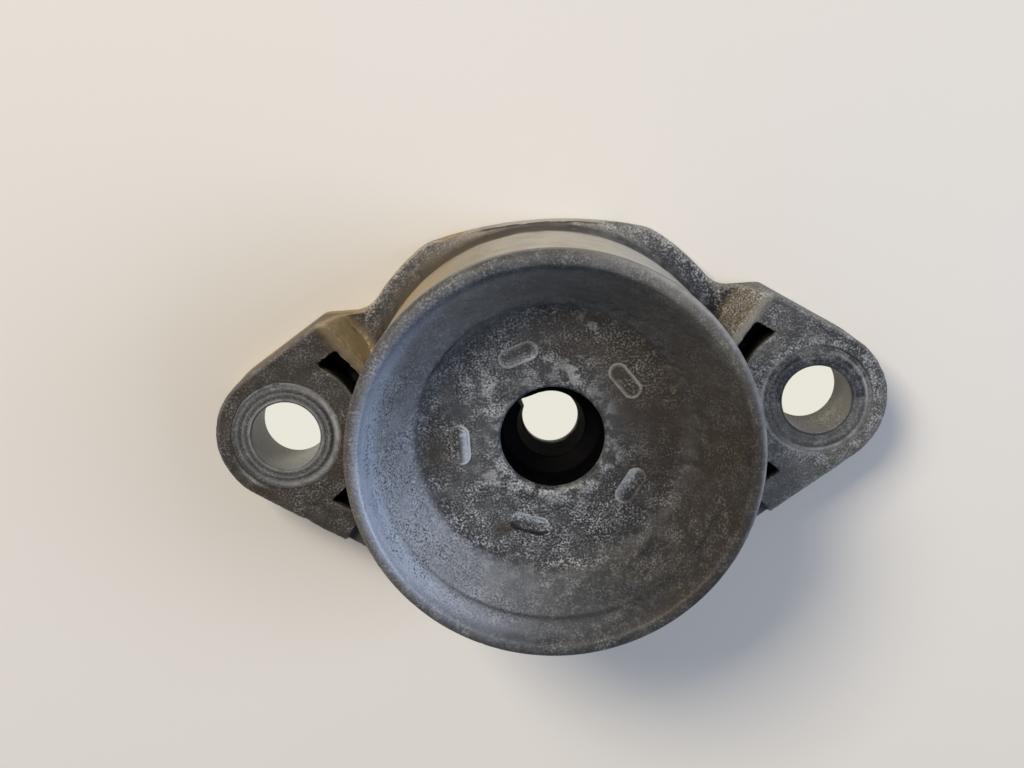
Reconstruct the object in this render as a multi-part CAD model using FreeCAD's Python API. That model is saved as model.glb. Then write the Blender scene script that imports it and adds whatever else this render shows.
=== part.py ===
"""Top mount of a rear shock absorber, in millimetres.

The origin is the centre of the flat mounting face. +Z runs along the damper
rod's axis, from the mounting face to the mouth of the bump stop cup, and +X
runs to one of the two bolt ears.
"""
import FreeCAD
import Part
import math
import os

Vector = FreeCAD.Vector

# Fixing ears and their bolts
bolt_spacing = 100.0
bolt_hole_r = 6.5
hole_chamfer = 0.2
ear_tip_r = 13.3
ear_thickness = 13.0
boss_r = 15.0
bolt_print_r = 10.3
bolt_print_depth = 0.2

# Flange plate, measured from the housing wall that stands on it
plate_thickness = 4.5
plate_rim = 4.5
plate_flat_drop = 3.3
plate_crown_r = 78.0
plate_crown_blend_r = 8.0
edge_foot_reach = 2.9
plate_foot_blend_r = 16.0
shoulder_y = 21.0
shoulder_round_r = 1.8
shoulder_hollow_r = 6.0
cast_edge_r = 0.7

# Ribs from the ears to the housing wall, and the pockets beside them
rib_angle = 52.0
rib_thickness = 2.1
rib_foot_spread = 3.0
rib_start_inset = 0.4
rib_start_y = 13.2
pocket_rim = 6.0
pocket_floor = 3.5

# Lower web that carries each ear's straight edge on past its shoulder
web_height = 11.0
web_reach = 7.0

# Housing wall, cored space behind the cup, and the deck that carries the cup
wall_r = 34.8
wall_foot_r = 5.0
wall_foot_thickness = 3.6
wall_lip_thickness = 1.6
deck_thickness = 4.0
deck_hole_r = 12.5
deck_edge_r = 0.5
core_floor = 4.5

# Bump stop cup
cup_height = 41.2
cup_floor_z = 27.0
cup_sheet = 2.2
cup_taper = 7.3
cup_corner_r = 5.0
cup_hole_r = 9.3
cup_hole_round = 0.9
cup_lip_overhang = 0.4
cup_lip_depth = 4.1
cup_lip_round = 1.5
cup_lip_land = 2.3
cup_land_round = 0.8
cup_throat_inset = 3.7
cup_throat_drop = 2.4
cup_throat_round = 3.0
cup_back_corner_r = 2.0
cup_burr_r = 0.3

# Cast pegs of the housing, staked through the cup's oval slots
peg_count = 5
peg_pitch_r = 16.4
peg_length = 7.1
peg_width = 3.3
peg_proud = 0.35
peg_clearance = 0.05

# Rubber bearing and its steel plate
bush_r = 22.5
bush_wall = 2.7
bond_gap = 0.05
bush_back_z = 0.8
plate_z = 9.5
steel_thickness = 1.5
steel_r = 17.0
rod_hole_r = 5.25
nut_well_r = 11.5
relief_r = 17.5
relief_width = 3.0
relief_depth = 3.5
relief_corner_r = 1.0
rubber_back_round = 0.6
neck_end_z = 17.0
neck_start_r = 5.5
neck_end_r = 6.3
mouth_r = 10.6
mouth_floor_r = 9.0
mouth_step = 1.2
mouth_recess = 0.5

# Tear at the edge of the rod hole
tear_start_angle = 105.0
tear_tip_angle = 139.0
tear_tip_r = 7.7
tear_end_angle = 157.0

# Values worked out from the sizes above
ear_x = bolt_spacing / 2
plate_round_r = wall_r + plate_rim
plate_flat_y = plate_round_r - plate_flat_drop
flat_end_x = math.sqrt(plate_round_r**2 - plate_flat_y**2)
edge_foot_x = flat_end_x + edge_foot_reach
rib_start_x = wall_r - rib_start_inset
cup_lip_r = wall_r + cup_lip_overhang
cup_throat_r = cup_lip_r - cup_throat_inset
cup_floor_r = cup_throat_r - cup_taper
lip_base_z = cup_height - cup_lip_depth
deck_top_z = cup_floor_z - cup_sheet
deck_base_z = deck_top_z - deck_thickness
bush_wall_r = bush_r + bush_wall
plate_top_z = plate_z + steel_thickness

# Overrun of a cut past the face that it opens, and the reach of an edge search
cut_margin = 1.0
near_enough = 0.001
edge_reach = 0.5


def corner_points(before, here, after, radius):
    """Start, middle and end of the arc that rounds one corner."""
    back = (before - here).normalize()
    ahead = (after - here).normalize()
    half = back.getAngle(ahead) / 2
    setback = radius / math.tan(half)
    middle = (back + ahead).normalize() * (radius / math.sin(half) - radius)
    return here + back * setback, here + middle, here + ahead * setback


def rounded_face(corners):
    """Closed face through (point, radius) corners, with each corner rounded."""
    edges = []
    ends = []
    for index, (here, radius) in enumerate(corners):
        before = corners[index - 1][0]
        after = corners[(index + 1) % len(corners)][0]
        if radius > 0:
            start, middle, end = corner_points(before, here, after, radius)
            edges.append(Part.Arc(start, middle, end).toShape())
        else:
            start = here
            end = here
        ends.append((start, end))
    for index, (start, end) in enumerate(ends):
        previous = ends[index - 1][1]
        if previous.distanceToPoint(start) > near_enough:
            edges.append(Part.makeLine(previous, start))
    return Part.Face(Part.Wire(Part.__sortEdges__(edges)))


def turned(section):
    """Solid of revolution about Z from (radius, height, corner radius) points."""
    corners = [(Vector(r, 0, z), corner) for r, z, corner in section]
    return rounded_face(corners).revolve(Vector(0, 0, 0), Vector(0, 0, 1), 360)


def prism(points, low, high):
    """Upright block over a polygon of (x, y) points."""
    corners = [(Vector(x, y, low), 0) for x, y in points]
    return rounded_face(corners).extrude(Vector(0, 0, high - low))


def disc(radius, low, high, x=0.0):
    """Upright cylinder about the line x, 0."""
    return Part.makeCylinder(radius, high - low, Vector(x, 0, low))


def lower(shape):
    """The shape's mirror image across the ears' line."""
    return shape.mirror(Vector(0, 0, 0), Vector(0, 1, 0))


def both_sides(shape):
    """The shape and its mirror image at the other ear."""
    return [shape, shape.mirror(Vector(0, 0, 0), Vector(1, 0, 0))]


def upright_edges(shape, spots):
    """Upright edges of the shape beside the given (x, y) spots."""
    found = []
    for edge in shape.Edges:
        first = edge.Vertexes[0].Point
        last = edge.Vertexes[-1].Point
        upright = math.hypot(last.x - first.x, last.y - first.y) < near_enough
        if not upright or abs(last.z - first.z) < near_enough:
            continue
        if any(math.hypot(first.x - x, first.y - y) < edge_reach for x, y in spots):
            found.append(edge)
    return found


def spot_pair(x, y):
    """A spot and its mirror image at the other ear."""
    return [(x, y), (-x, y)]


def edge_slope():
    """Slope of the line from the end of the lower flat that touches the round tip."""
    run = ear_x - edge_foot_x
    return math.atan2(plate_flat_y, run) - math.asin(ear_tip_r / math.hypot(run, plate_flat_y))


def edge_direction():
    """Unit direction of the ear's straight edge, from the tip to the shoulder."""
    slope = edge_slope()
    return -math.cos(slope), math.sin(slope)


def tip_tangent():
    """Point where the ear's straight edge leaves the round tip."""
    slope = edge_slope()
    return ear_x + ear_tip_r * math.sin(slope), ear_tip_r * math.cos(slope)


def straight_edge_x(height):
    """Where the ear's straight edge reaches a given y."""
    x, y = tip_tangent()
    dx, dy = edge_direction()
    return x + dx * (height - y) / dy


def ear_face():
    """Outline of one ear: a shoulder above, a straight edge to the flat below."""
    x, y = tip_tangent()
    outer = [Vector(x, -y, 0), Vector(ear_x + ear_tip_r, 0, 0), Vector(x, y, 0)]
    chain = [
        Vector(x, y, 0),
        Vector(straight_edge_x(shoulder_y), shoulder_y, 0),
        Vector(0, shoulder_y, 0),
        Vector(0, -plate_flat_y, 0),
        Vector(edge_foot_x, -plate_flat_y, 0),
        Vector(x, -y, 0),
    ]
    edges = [Part.Arc(*outer).toShape()]
    for start, end in zip(chain, chain[1:]):
        edges.append(Part.makeLine(start, end))
    return Part.Face(Part.Wire(Part.__sortEdges__(edges)))


def crown_end():
    """Where the crowned upper edge of the flange plate meets its round edge."""
    centre_y = plate_flat_y - plate_crown_r
    y = (plate_round_r**2 - plate_crown_r**2 + centre_y**2) / (2 * centre_y)
    return math.sqrt(plate_round_r**2 - y**2), y


def flange_outline(height):
    """The flange's outline as a block: flat below, crowned above, with both ears."""
    body = disc(plate_round_r, 0, height)
    half = plate_round_r + cut_margin
    above_flat = prism([(-half, -plate_flat_y), (half, -plate_flat_y), (half, half), (-half, half)], 0, height)
    crown = Part.makeCylinder(plate_crown_r, height, Vector(0, plate_flat_y - plate_crown_r, 0))
    body = body.common(above_flat).common(crown)
    body = body.makeFillet(plate_crown_blend_r, upright_edges(body, spot_pair(*crown_end())))
    ears = both_sides(ear_face().extrude(Vector(0, 0, height)))
    whole = body.fuse(ears).removeSplitter()
    hollow_x = math.sqrt(plate_round_r**2 - shoulder_y**2)
    shoulder_x = straight_edge_x(shoulder_y)
    whole = whole.makeFillet(shoulder_hollow_r, upright_edges(whole, spot_pair(hollow_x, shoulder_y)))
    whole = whole.makeFillet(shoulder_round_r, upright_edges(whole, spot_pair(shoulder_x, shoulder_y)))
    return whole.makeFillet(plate_foot_blend_r, upright_edges(whole, spot_pair(edge_foot_x, -plate_flat_y)))


def rib_line(offset, spread=0.0):
    """Two points of a line along the rib, moved sideways towards the ear."""
    turn = math.radians(rib_angle)
    side_x = math.sin(turn) * (offset - spread)
    side_y = -math.cos(turn) * (offset - spread)
    reach = 2 * shoulder_y
    near = (rib_start_x + side_x - reach * math.cos(turn), rib_start_y + side_y - reach * math.sin(turn))
    far = (rib_start_x + side_x + reach * math.cos(turn), rib_start_y + side_y + reach * math.sin(turn))
    return near, far


def crossing(line, height):
    """Where a line of two points reaches a given y."""
    (x1, y1), (x2, y2) = line
    return x1 + (x2 - x1) * (height - y1) / (y2 - y1)


def ear_wedge(offset, spread=0.0):
    """Corners of the area between a rib line and its mirror, out past the ear."""
    line = rib_line(offset, spread)
    top = plate_flat_y + cut_margin
    far = ear_x + ear_tip_r + cut_margin
    return [(crossing(line, 0), 0), (far, 0), (far, top), (crossing(line, top), top)]


def drafted_wedge(height, reach=0.0):
    """Half of the ear's thick part, its rib face sloping out to the foot."""
    foot = ear_wedge(-reach, rib_foot_spread)
    crest = ear_wedge(-reach)
    wires = []
    for points, z in ((foot, 0), (crest, height)):
        loop = [Vector(x, y, z) for x, y in points]
        wires.append(Part.makePolygon(loop + loop[:1]))
    return Part.makeLoft(wires, True, True)


def ear_pocket():
    """Pocket between one rib, the bolt boss, the ear's rim and the housing wall."""
    x, y = tip_tangent()
    dx, dy = edge_direction()
    rim = (x - dy * pocket_rim, y + dx * pocket_rim)
    near = (rim[0] + dx * boss_r * 2, rim[1] + dy * boss_r * 2)
    far_x = crossing((rim, near), 0)
    top = ear_thickness + cut_margin
    below_rim = prism([(far_x, 0), near, (near[0], 0)], pocket_floor, top)
    beside_rib = prism(ear_wedge(rib_thickness), pocket_floor, top)
    pocket = below_rim.common(beside_rib)
    pocket = pocket.cut(disc(boss_r, 0, top + cut_margin, ear_x))
    pocket = pocket.cut(disc(wall_r, 0, top + cut_margin))
    return max(pocket.Solids, key=lambda solid: solid.Volume)


def wall_section():
    """Section of the housing wall and its foot, as far in as the rubber's bore."""
    foot = plate_thickness + wall_foot_r
    return [
        (bush_r, 0, 0),
        (wall_r + wall_foot_r, 0, 0),
        (wall_r + wall_foot_r, plate_thickness, 0),
        (wall_r, foot, 0),
        (wall_r, lip_base_z, 0),
        (wall_r - wall_lip_thickness, lip_base_z, 0),
        (wall_r - wall_foot_thickness, core_floor, 0),
        (bush_wall_r, core_floor, 0),
        (bush_wall_r, deck_top_z, 0),
        (deck_hole_r, deck_top_z, deck_edge_r),
        (deck_hole_r, deck_base_z, deck_edge_r),
        (bush_r, deck_base_z, 0),
    ]


def wall_foot_hollow():
    """Ring that hollows the wall's foot into a quarter round."""
    z = plate_thickness + wall_foot_r
    return Part.makeTorus(wall_r + wall_foot_r, wall_foot_r, Vector(0, 0, z))


def housing_wall():
    """The turned form of the housing: wall, foot, core, deck and rubber bore."""
    wall = turned(wall_section())
    return wall.cut(wall_foot_hollow())


def peg(height, grow):
    """One oval peg or slot along the pitch circle, on +X."""
    half = (peg_length - peg_width) / 2
    radius = peg_width / 2 + grow
    low = deck_top_z if grow == 0 else deck_top_z - cut_margin
    ends = []
    for y in (-half, half):
        ends.append(Part.makeCylinder(radius, height, Vector(peg_pitch_r, y, low)))
    middle = Part.makeBox(2 * radius, 2 * half, height, Vector(peg_pitch_r - radius, -half, low))
    return middle.fuse(ends).removeSplitter()


def around(shape):
    """Copies of the shape at each peg's angle, the first on -X."""
    copies = []
    for index in range(peg_count):
        copy = shape.copy()
        copy.rotate(Vector(0, 0, 0), Vector(0, 0, 1), 180 + index * 360 / peg_count)
        copies.append(copy)
    return copies


def front_rim_edges(shape):
    """Edges of the ears' outline on their front faces, outside the housing wall."""
    found = []
    for edge in shape.Edges:
        ends = [vertex.Point for vertex in edge.Vertexes]
        if len(ends) < 2:
            continue
        if any(abs(point.z - ear_thickness) > near_enough for point in ends):
            continue
        middle = edge.valueAt((edge.FirstParameter + edge.LastParameter) / 2)
        if abs(middle.z - ear_thickness) > near_enough:
            continue
        x, y = tip_tangent()
        dx, dy = edge_direction()
        inset = (abs(middle.x) - x) * dy - (abs(middle.y) - y) * dx
        at_tip = abs(math.hypot(abs(middle.x) - ear_x, middle.y) - ear_tip_r) < near_enough
        if at_tip or abs(inset) < near_enough:
            found.append(edge)
    return found


def housing():
    """The whole casting."""
    outline = flange_outline(ear_thickness)
    plate = outline.common(disc(ear_x + 2 * ear_tip_r, 0, plate_thickness))
    upper = drafted_wedge(ear_thickness)
    web = lower(drafted_wedge(web_height, web_reach))
    ears = []
    for wedge in both_sides(upper) + both_sides(lower(upper)) + both_sides(web):
        ears.append(outline.common(wedge))
    block = plate.fuse(ears).removeSplitter()
    block = block.makeFillet(cast_edge_r, front_rim_edges(block))
    pocket = ear_pocket()
    block = block.cut(both_sides(pocket) + both_sides(lower(pocket)))
    block = block.cut(disc(bush_wall_r, -cut_margin, ear_thickness + cut_margin))
    wall = housing_wall()
    within = flange_outline(lip_base_z + cut_margin)
    body = block.cut(disc(wall_r - cut_margin, -cut_margin, ear_thickness + cut_margin))
    body = body.fuse(wall.common(within))
    body = body.fuse(around(peg(cup_sheet + peg_proud, 0))).removeSplitter()
    return body.cut(bolt_cuts())


def bolt_cuts():
    """Bolt holes with chamfered ends, and the round print that each bolt left."""
    cuts = []
    for x in (-ear_x, ear_x):
        cuts.append(disc(bolt_hole_r, -cut_margin, ear_thickness + cut_margin, x))
        cuts.append(disc(bolt_print_r, ear_thickness - bolt_print_depth, ear_thickness + cut_margin, x))
        wide = bolt_hole_r + hole_chamfer
        seat = ear_thickness - bolt_print_depth
        cuts.append(Part.makeCone(wide, bolt_hole_r, hole_chamfer, Vector(x, 0, 0)))
        cuts.append(Part.makeCone(bolt_hole_r, wide, hole_chamfer, Vector(x, 0, seat - hole_chamfer)))
    return cuts


def cup_section():
    """Section of the cup: floor, coned wall and thick rounded lip."""
    throat_z = cup_height - cup_throat_drop
    lean = (cup_throat_r - cup_floor_r) / (throat_z - cup_floor_z)
    across = cup_sheet * math.hypot(1, lean)
    outside = cup_floor_r + across
    return [
        (cup_hole_r, deck_top_z, cup_burr_r),
        (cup_hole_r, cup_floor_z, cup_hole_round),
        (cup_floor_r, cup_floor_z, cup_corner_r),
        (cup_throat_r, throat_z, cup_throat_round),
        (cup_lip_r - cup_lip_land, cup_height, cup_land_round),
        (cup_lip_r, cup_height, cup_lip_round),
        (cup_lip_r, lip_base_z, cup_burr_r),
        (outside + lean * (lip_base_z - cup_floor_z), lip_base_z, 0),
        (outside - lean * cup_sheet, deck_top_z, cup_back_corner_r),
    ]


def bump_stop_cup():
    """The cup with its oval slots over the pegs."""
    cup = turned(cup_section())
    slots = around(peg(cup_sheet + 2 * cut_margin, peg_clearance))
    return cup.cut(slots)


def tear(low, high):
    """The torn corner beside the rod hole, from the neck's rim to the hole's edge."""
    corners = [(0, 0)]
    for radius, angle in (
        (neck_end_r, tear_start_angle),
        (tear_tip_r, tear_tip_angle),
        (rod_hole_r, tear_end_angle),
    ):
        turn = math.radians(angle)
        corners.append((radius * math.cos(turn), radius * math.sin(turn)))
    return prism(corners, low, high)


def steel_plate():
    """Steel plate inside the rubber, with the rod hole and the tear."""
    plate = disc(steel_r, plate_z, plate_top_z)
    plate = plate.cut(disc(rod_hole_r, plate_z - cut_margin, plate_top_z + cut_margin))
    return plate.cut(tear(plate_z - cut_margin, plate_top_z + cut_margin))


def rubber_section():
    """Section of the rubber, round its steel plate."""
    outer = bush_r - bond_gap
    shelf = deck_base_z - bond_gap
    neck_outer = deck_hole_r - bond_gap
    front = deck_top_z - mouth_recess
    pocket_low = plate_z - bond_gap
    pocket_high = plate_top_z + bond_gap
    pocket_r = steel_r + bond_gap
    inner = relief_r - relief_width / 2
    outside = relief_r + relief_width / 2
    return [
        (nut_well_r, bush_back_z, rubber_back_round),
        (inner, bush_back_z, rubber_back_round),
        (inner, bush_back_z + relief_depth, relief_corner_r),
        (outside, bush_back_z + relief_depth, relief_corner_r),
        (outside, bush_back_z, rubber_back_round),
        (outer, bush_back_z, rubber_back_round),
        (outer, shelf, 0),
        (neck_outer, shelf, 0),
        (neck_outer, front, 0),
        (mouth_r, front, 0),
        (mouth_floor_r, neck_end_z + mouth_step, 0),
        (neck_end_r, neck_end_z, 0),
        (neck_start_r, pocket_high, 0),
        (pocket_r, pocket_high, 0),
        (pocket_r, pocket_low, 0),
        (nut_well_r, pocket_low, 0),
    ]


def rubber_bush():
    """The moulded rubber, torn beside the rod hole."""
    rubber = turned(rubber_section())
    return rubber.cut(tear(plate_z - cut_margin, neck_end_z + mouth_step))


def main():
    """Build each piece and write it to its own file."""
    os.makedirs("parts", exist_ok=True)
    pieces = {
        "housing": housing(),
        "bump_stop_cup": bump_stop_cup(),
        "rubber_bush": rubber_bush(),
        "steel_plate": steel_plate(),
    }
    for name, shape in pieces.items():
        box = shape.BoundBox
        print(
            name, "solids", len(shape.Solids), "valid", shape.isValid(), "volume", round(shape.Volume),
            "z", round(box.ZMin, 2), round(box.ZMax, 2), "x", round(box.XMin, 2), round(box.XMax, 2),
        )
        shape.exportStep("parts/" + name + ".step")


main()
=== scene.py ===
"""Looks of a used rear shock absorber top mount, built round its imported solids.

Sizes are in millimetres, as on the real part, and become metres where a mesh or a
pattern is made. +Z runs along the damper rod from the mounting face to the mouth of
the bump stop cup, +X runs to one bolt ear, and +Y is upwards in the photograph.
"""
import logging
import math
from collections.abc import Callable
from dataclasses import dataclass, field
from enum import Enum
from functools import partial

import bmesh
import bpy
import numpy as np
from mathutils import Matrix, Vector


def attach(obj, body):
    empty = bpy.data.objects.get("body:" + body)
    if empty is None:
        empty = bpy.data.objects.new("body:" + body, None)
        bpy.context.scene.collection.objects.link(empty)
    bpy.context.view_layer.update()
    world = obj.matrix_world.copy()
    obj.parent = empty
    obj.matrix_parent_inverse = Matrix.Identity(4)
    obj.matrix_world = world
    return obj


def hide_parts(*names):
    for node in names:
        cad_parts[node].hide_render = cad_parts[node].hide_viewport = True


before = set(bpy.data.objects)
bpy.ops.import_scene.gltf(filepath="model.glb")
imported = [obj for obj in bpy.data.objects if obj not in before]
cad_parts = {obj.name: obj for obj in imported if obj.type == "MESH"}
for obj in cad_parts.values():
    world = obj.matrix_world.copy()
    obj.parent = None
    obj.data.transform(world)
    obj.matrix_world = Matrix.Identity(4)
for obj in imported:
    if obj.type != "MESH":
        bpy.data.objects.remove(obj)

LOG = logging.getLogger("top_mount")
MM = 0.001
BODY = "root"
ROUND_STEPS = 256
Array = np.ndarray


class Mask(Enum):
    """Where a kind of weathering, painted shade or painted sheen lies on a casting or on the cup,
    kept per vertex.
    """

    TAN_DUST = "tan_dust"
    PALE_DUST = "pale_dust"
    BROWN_STAIN = "brown_stain"
    GRAIN = "grain"
    CRUST = "crust"
    SOOT = "soot"
    BLUE_SHEEN = "blue_sheen"
    MACHINED = "machined"
    EDGE_WEAR = "edge_wear"
    CAVITY = "cavity"


class Pattern(Enum):
    """Noise that breaks up a coat of weathering."""

    GRIT = 0
    BLOTCH = 1
    CLOUD = 2


@dataclass(frozen=True)
class Coat:
    """One kind of weathering, painted shade or painted sheen: where it lies, its colour, and what
    breaks it up.

    The pattern's value from low to high raises the coat from its least share of the
    mask to the whole mask.
    """

    mask: Mask
    colour: str
    pattern: Pattern
    low: float
    high: float
    least: float


def linear_colour(code: str) -> tuple[float, float, float, float]:
    """Turn an sRGB hex colour into a linear one.

    Args:
        code: six hex digits after a hash sign.

    Returns:
        Linear red, green and blue, and an alpha of 1.
    """
    values = [int(code[i : i + 2], 16) / 255 for i in (1, 3, 5)]
    linear = [v / 12.92 if v <= 0.04045 else ((v + 0.055) / 1.055) ** 2.4 for v in values]
    return (*linear, 1.0)


def smooth_step(value: Array, low: float, high: float) -> Array:
    """Rise from 0 at low to 1 at high along the cubic 3t^2 - 2t^3."""
    t = np.clip((value - low) / (high - low), 0, 1)
    return t * t * (3 - 2 * t)


def near(value: Array, centre: float, width: float) -> Array:
    """Bell curve, 1 at the centre, that falls as exp(-(distance / width)^2)."""
    return np.exp(-(((value - centre) / width) ** 2))


def turn_near(angle: Array, centre: float, width: float) -> Array:
    """Bell curve over an angle in degrees, measured the short way round."""
    return near((angle - centre + 180) % 360 - 180, 0, width)


def around_axis(points: Array, centre_x: float = 0.0) -> tuple[Array, Array]:
    """Distance from an axis along Z, and the angle round it in degrees, from +X."""
    x, y = points[..., 0] - centre_x, points[..., 1]
    return np.hypot(x, y), np.degrees(np.arctan2(y, x))


def turned(points: Array, angle: float) -> Array:
    """Turn points about Z: the new x is x cos a - y sin a, the new y x sin a + y cos a.

    Args:
        points: places whose last axis holds x, y and z.
        angle: the turn a, in degrees.

    Returns:
        The turned points.
    """
    turn = math.radians(angle)
    new_x = points[..., 0] * math.cos(turn) - points[..., 1] * math.sin(turn)
    new_y = points[..., 0] * math.sin(turn) + points[..., 1] * math.cos(turn)
    return np.stack([new_x, new_y, points[..., 2]], axis=-1)


@dataclass(frozen=True)
class LatticeNoise:
    """Smooth random field over space, from about -1 to 1.

    Space is cut into cubes of one size. Each corner of a cube has a fixed random
    value, worked out from its three whole-number places, and a point takes the mean
    of its eight corners, weighted along each axis by the fade 6t^5 - 15t^4 + 10t^3.
    Each further octave has half the size and half the height.
    """

    size_mm: float
    seed: int
    octaves: int = 2

    def corner_values(self, cells: Array, seed: int) -> Array:
        """Random value of each corner, from products, shifts and exclusive ors.

        Args:
            cells: whole-number places of the corners, by row.
            seed: the octave's own seed.

        Returns:
            A value from -1 to 1 for each corner.
        """
        mixed = cells[:, 0] * 73856093 ^ cells[:, 1] * 19349663 ^ cells[:, 2] * 83492791
        mixed = (mixed ^ seed * 26544357) & 0x7FFFFFFF
        mixed = (mixed ^ (mixed >> 13)) * 1274126177 & 0x7FFFFFFFFFFF
        mixed = (mixed ^ (mixed >> 16)) * 40503 & 0x7FFFFFFFFFFF
        return (mixed >> 8 & 0xFFFF) / 32767.5 - 1

    def layer(self, places: Array, seed: int) -> Array:
        """One octave of the field.

        Args:
            places: points, measured in cubes.
            seed: the octave's own seed.

        Returns:
            The octave's value at each point.
        """
        cells = np.floor(places).astype(np.int64)
        t = places - cells
        fade = t * t * t * (t * (t * 6 - 15) + 10)
        total = np.zeros(len(places))
        for corner in np.ndindex(2, 2, 2):
            step = np.array(corner)
            weight = np.prod(np.where(step == 1, fade, 1 - fade), axis=1)
            total += weight * self.corner_values(cells + step, seed)
        return total

    def __call__(self, points: Array) -> Array:
        """Sum of the octaves.

        Args:
            points: places in millimetres.

        Returns:
            The field's value at each point.
        """
        total = np.zeros(len(points))
        for octave in range(self.octaves):
            share = 0.5**octave
            total += share * self.layer(points / (self.size_mm * share), self.seed + octave)
        return total


def rounded_loop(corners: list[tuple[float, float, float]], step: float = 0.05) -> Array:
    """Closed section through corners that are rounded by arcs.

    An arc touches both legs of its corner: its centre lies on the bisector, at the
    rounding divided by the sine of half the corner's angle. The loop is then read at
    even steps of its length.

    Args:
        corners: radius, height and rounding of each corner, anticlockwise.
        step: spacing of the points, in millimetres.

    Returns:
        Points as rows of radius and height.
    """
    spots = np.array([corner[:2] for corner in corners])
    runs = []
    for index, (_, _, rounding) in enumerate(corners):
        here = spots[index]
        back = spots[index - 1] - here
        ahead = spots[(index + 1) % len(corners)] - here
        back = back / np.linalg.norm(back)
        ahead = ahead / np.linalg.norm(ahead)
        if rounding == 0:
            runs.append(here[None])
            continue
        half = math.acos(float(back @ ahead)) / 2
        bisector = (back + ahead) / np.linalg.norm(back + ahead)
        centre = here + bisector * rounding / math.sin(half)
        first = here + back * rounding / math.tan(half) - centre
        last = here + ahead * rounding / math.tan(half) - centre
        start = math.atan2(first[1], first[0])
        sweep = (math.atan2(last[1], last[0]) - start + math.pi) % (2 * math.pi) - math.pi
        angles = start + sweep * np.linspace(0, 1, 24)
        runs.append(centre + rounding * np.stack([np.cos(angles), np.sin(angles)], axis=1))
    loop = np.concatenate(runs)
    return spaced_loop(loop, np.ones(len(loop)), step=step)


def spaced_loop(loop: Array, weight: Array, count: int = 0, step: float = 0.05) -> Array:
    """Read a closed section again at even steps of its weighted length.

    Args:
        loop: points of the section.
        weight: how dense the new points are at each old one.
        count: how many points to give, or 0 to use the step.
        step: spacing where the weight is 1.

    Returns:
        The new points.
    """
    closed = np.concatenate([loop, loop[:1]])
    dense = np.concatenate([weight, weight[:1]])
    length = np.linalg.norm(np.diff(closed, axis=0), axis=1) * (dense[1:] + dense[:-1]) / 2
    along = np.concatenate([[0], np.cumsum(length)])
    total = count or int(along[-1] / step)
    wanted = np.linspace(0, along[-1], total, endpoint=False)
    return np.stack([np.interp(wanted, along, closed[:, axis]) for axis in (0, 1)], axis=1)


def turned_grid(section: Array, segments: int) -> Array:
    """Turn a section about Z: x = r cos a, y = r sin a, with a even round the circle.

    Args:
        section: rows of radius and height.
        segments: how many places round the circle.

    Returns:
        Points, by row of the section and place round the circle.
    """
    angle = np.linspace(0, 2 * math.pi, segments, endpoint=False)
    radius = section[:, :1]
    height = np.broadcast_to(section[:, 1:], (len(section), segments))
    return np.stack([radius * np.cos(angle), radius * np.sin(angle), height], axis=-1)


def grid_mesh(name: str, grid: Array, closed_rows: bool = True) -> bpy.types.Mesh:
    """Mesh of quads over a grid of points that closes along its columns.

    Args:
        name: the mesh's name.
        grid: points in millimetres, by row and column.
        closed_rows: whether the last row joins the first.

    Returns:
        The mesh, in metres, shaded smooth.
    """
    rows, columns = grid.shape[:2]
    index = np.arange(rows * columns).reshape(rows, columns)
    index = np.concatenate([index, index[:, :1]], axis=1)
    if closed_rows:
        index = np.concatenate([index, index[:1]])
    quads = np.stack([index[:-1, :-1], index[:-1, 1:], index[1:, 1:], index[1:, :-1]], axis=-1)
    return quad_mesh(name, grid.reshape(-1, 3), quads.reshape(-1, 4))


def quad_mesh(name: str, points: Array, quads: Array) -> bpy.types.Mesh:
    """Mesh of faces with four corners, shaded smooth.

    Args:
        name: the mesh's name.
        points: places in millimetres.
        quads: numbers of each face's four corners.

    Returns:
        The mesh, in metres.
    """
    mesh = bpy.data.meshes.new(name)
    mesh.vertices.add(len(points))
    mesh.vertices.foreach_set("co", (points * MM).astype(np.float32).ravel())
    mesh.loops.add(quads.size)
    mesh.loops.foreach_set("vertex_index", quads.astype(np.int32).ravel())
    mesh.polygons.add(len(quads))
    mesh.polygons.foreach_set("loop_start", np.arange(0, quads.size, 4, dtype=np.int32))
    mesh.update(calc_edges=True)
    mesh.validate()
    mesh.polygons.foreach_set("use_smooth", np.ones(len(mesh.polygons), bool))
    return mesh


def vectors_of(items: bpy.types.bpy_prop_collection, attribute: str) -> Array:
    """Read a vector from each item.

    Args:
        items: vertices or normals of a mesh.
        attribute: which vector to read.

    Returns:
        The vectors, by row.
    """
    flat = np.empty(len(items) * 3, np.float32)
    items.foreach_get(attribute, flat)
    return flat.reshape(-1, 3).astype(float)


def points_of(mesh: bpy.types.Mesh) -> Array:
    """The mesh's vertices, in millimetres."""
    return vectors_of(mesh.vertices, "co") / MM


def normals_of(mesh: bpy.types.Mesh) -> Array:
    """The mesh's outward direction at each vertex."""
    return vectors_of(mesh.vertex_normals, "vector")


def push_out(mesh: bpy.types.Mesh, height: Callable[[Array, Array], Array]) -> None:
    """Move each vertex along its normal n by h(p, n): the new place is p + h n.

    Args:
        mesh: the mesh to change.
        height: gives millimetres from the vertices' places and normals.
    """
    points = points_of(mesh)
    normals = normals_of(mesh)
    moved = points + normals * height(points, normals)[:, None]
    mesh.vertices.foreach_set("co", (moved * MM).astype(np.float32).ravel())
    mesh.update()


def keep_mask(mesh: bpy.types.Mesh, mask: Mask, values: Array) -> None:
    """Store one kind of weathering on the vertices, held between 0 and 1."""
    attribute = mesh.attributes.new(mask.value, "FLOAT", "POINT")
    attribute.data.foreach_set("value", np.clip(values, 0, 1).astype(np.float32))


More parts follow.
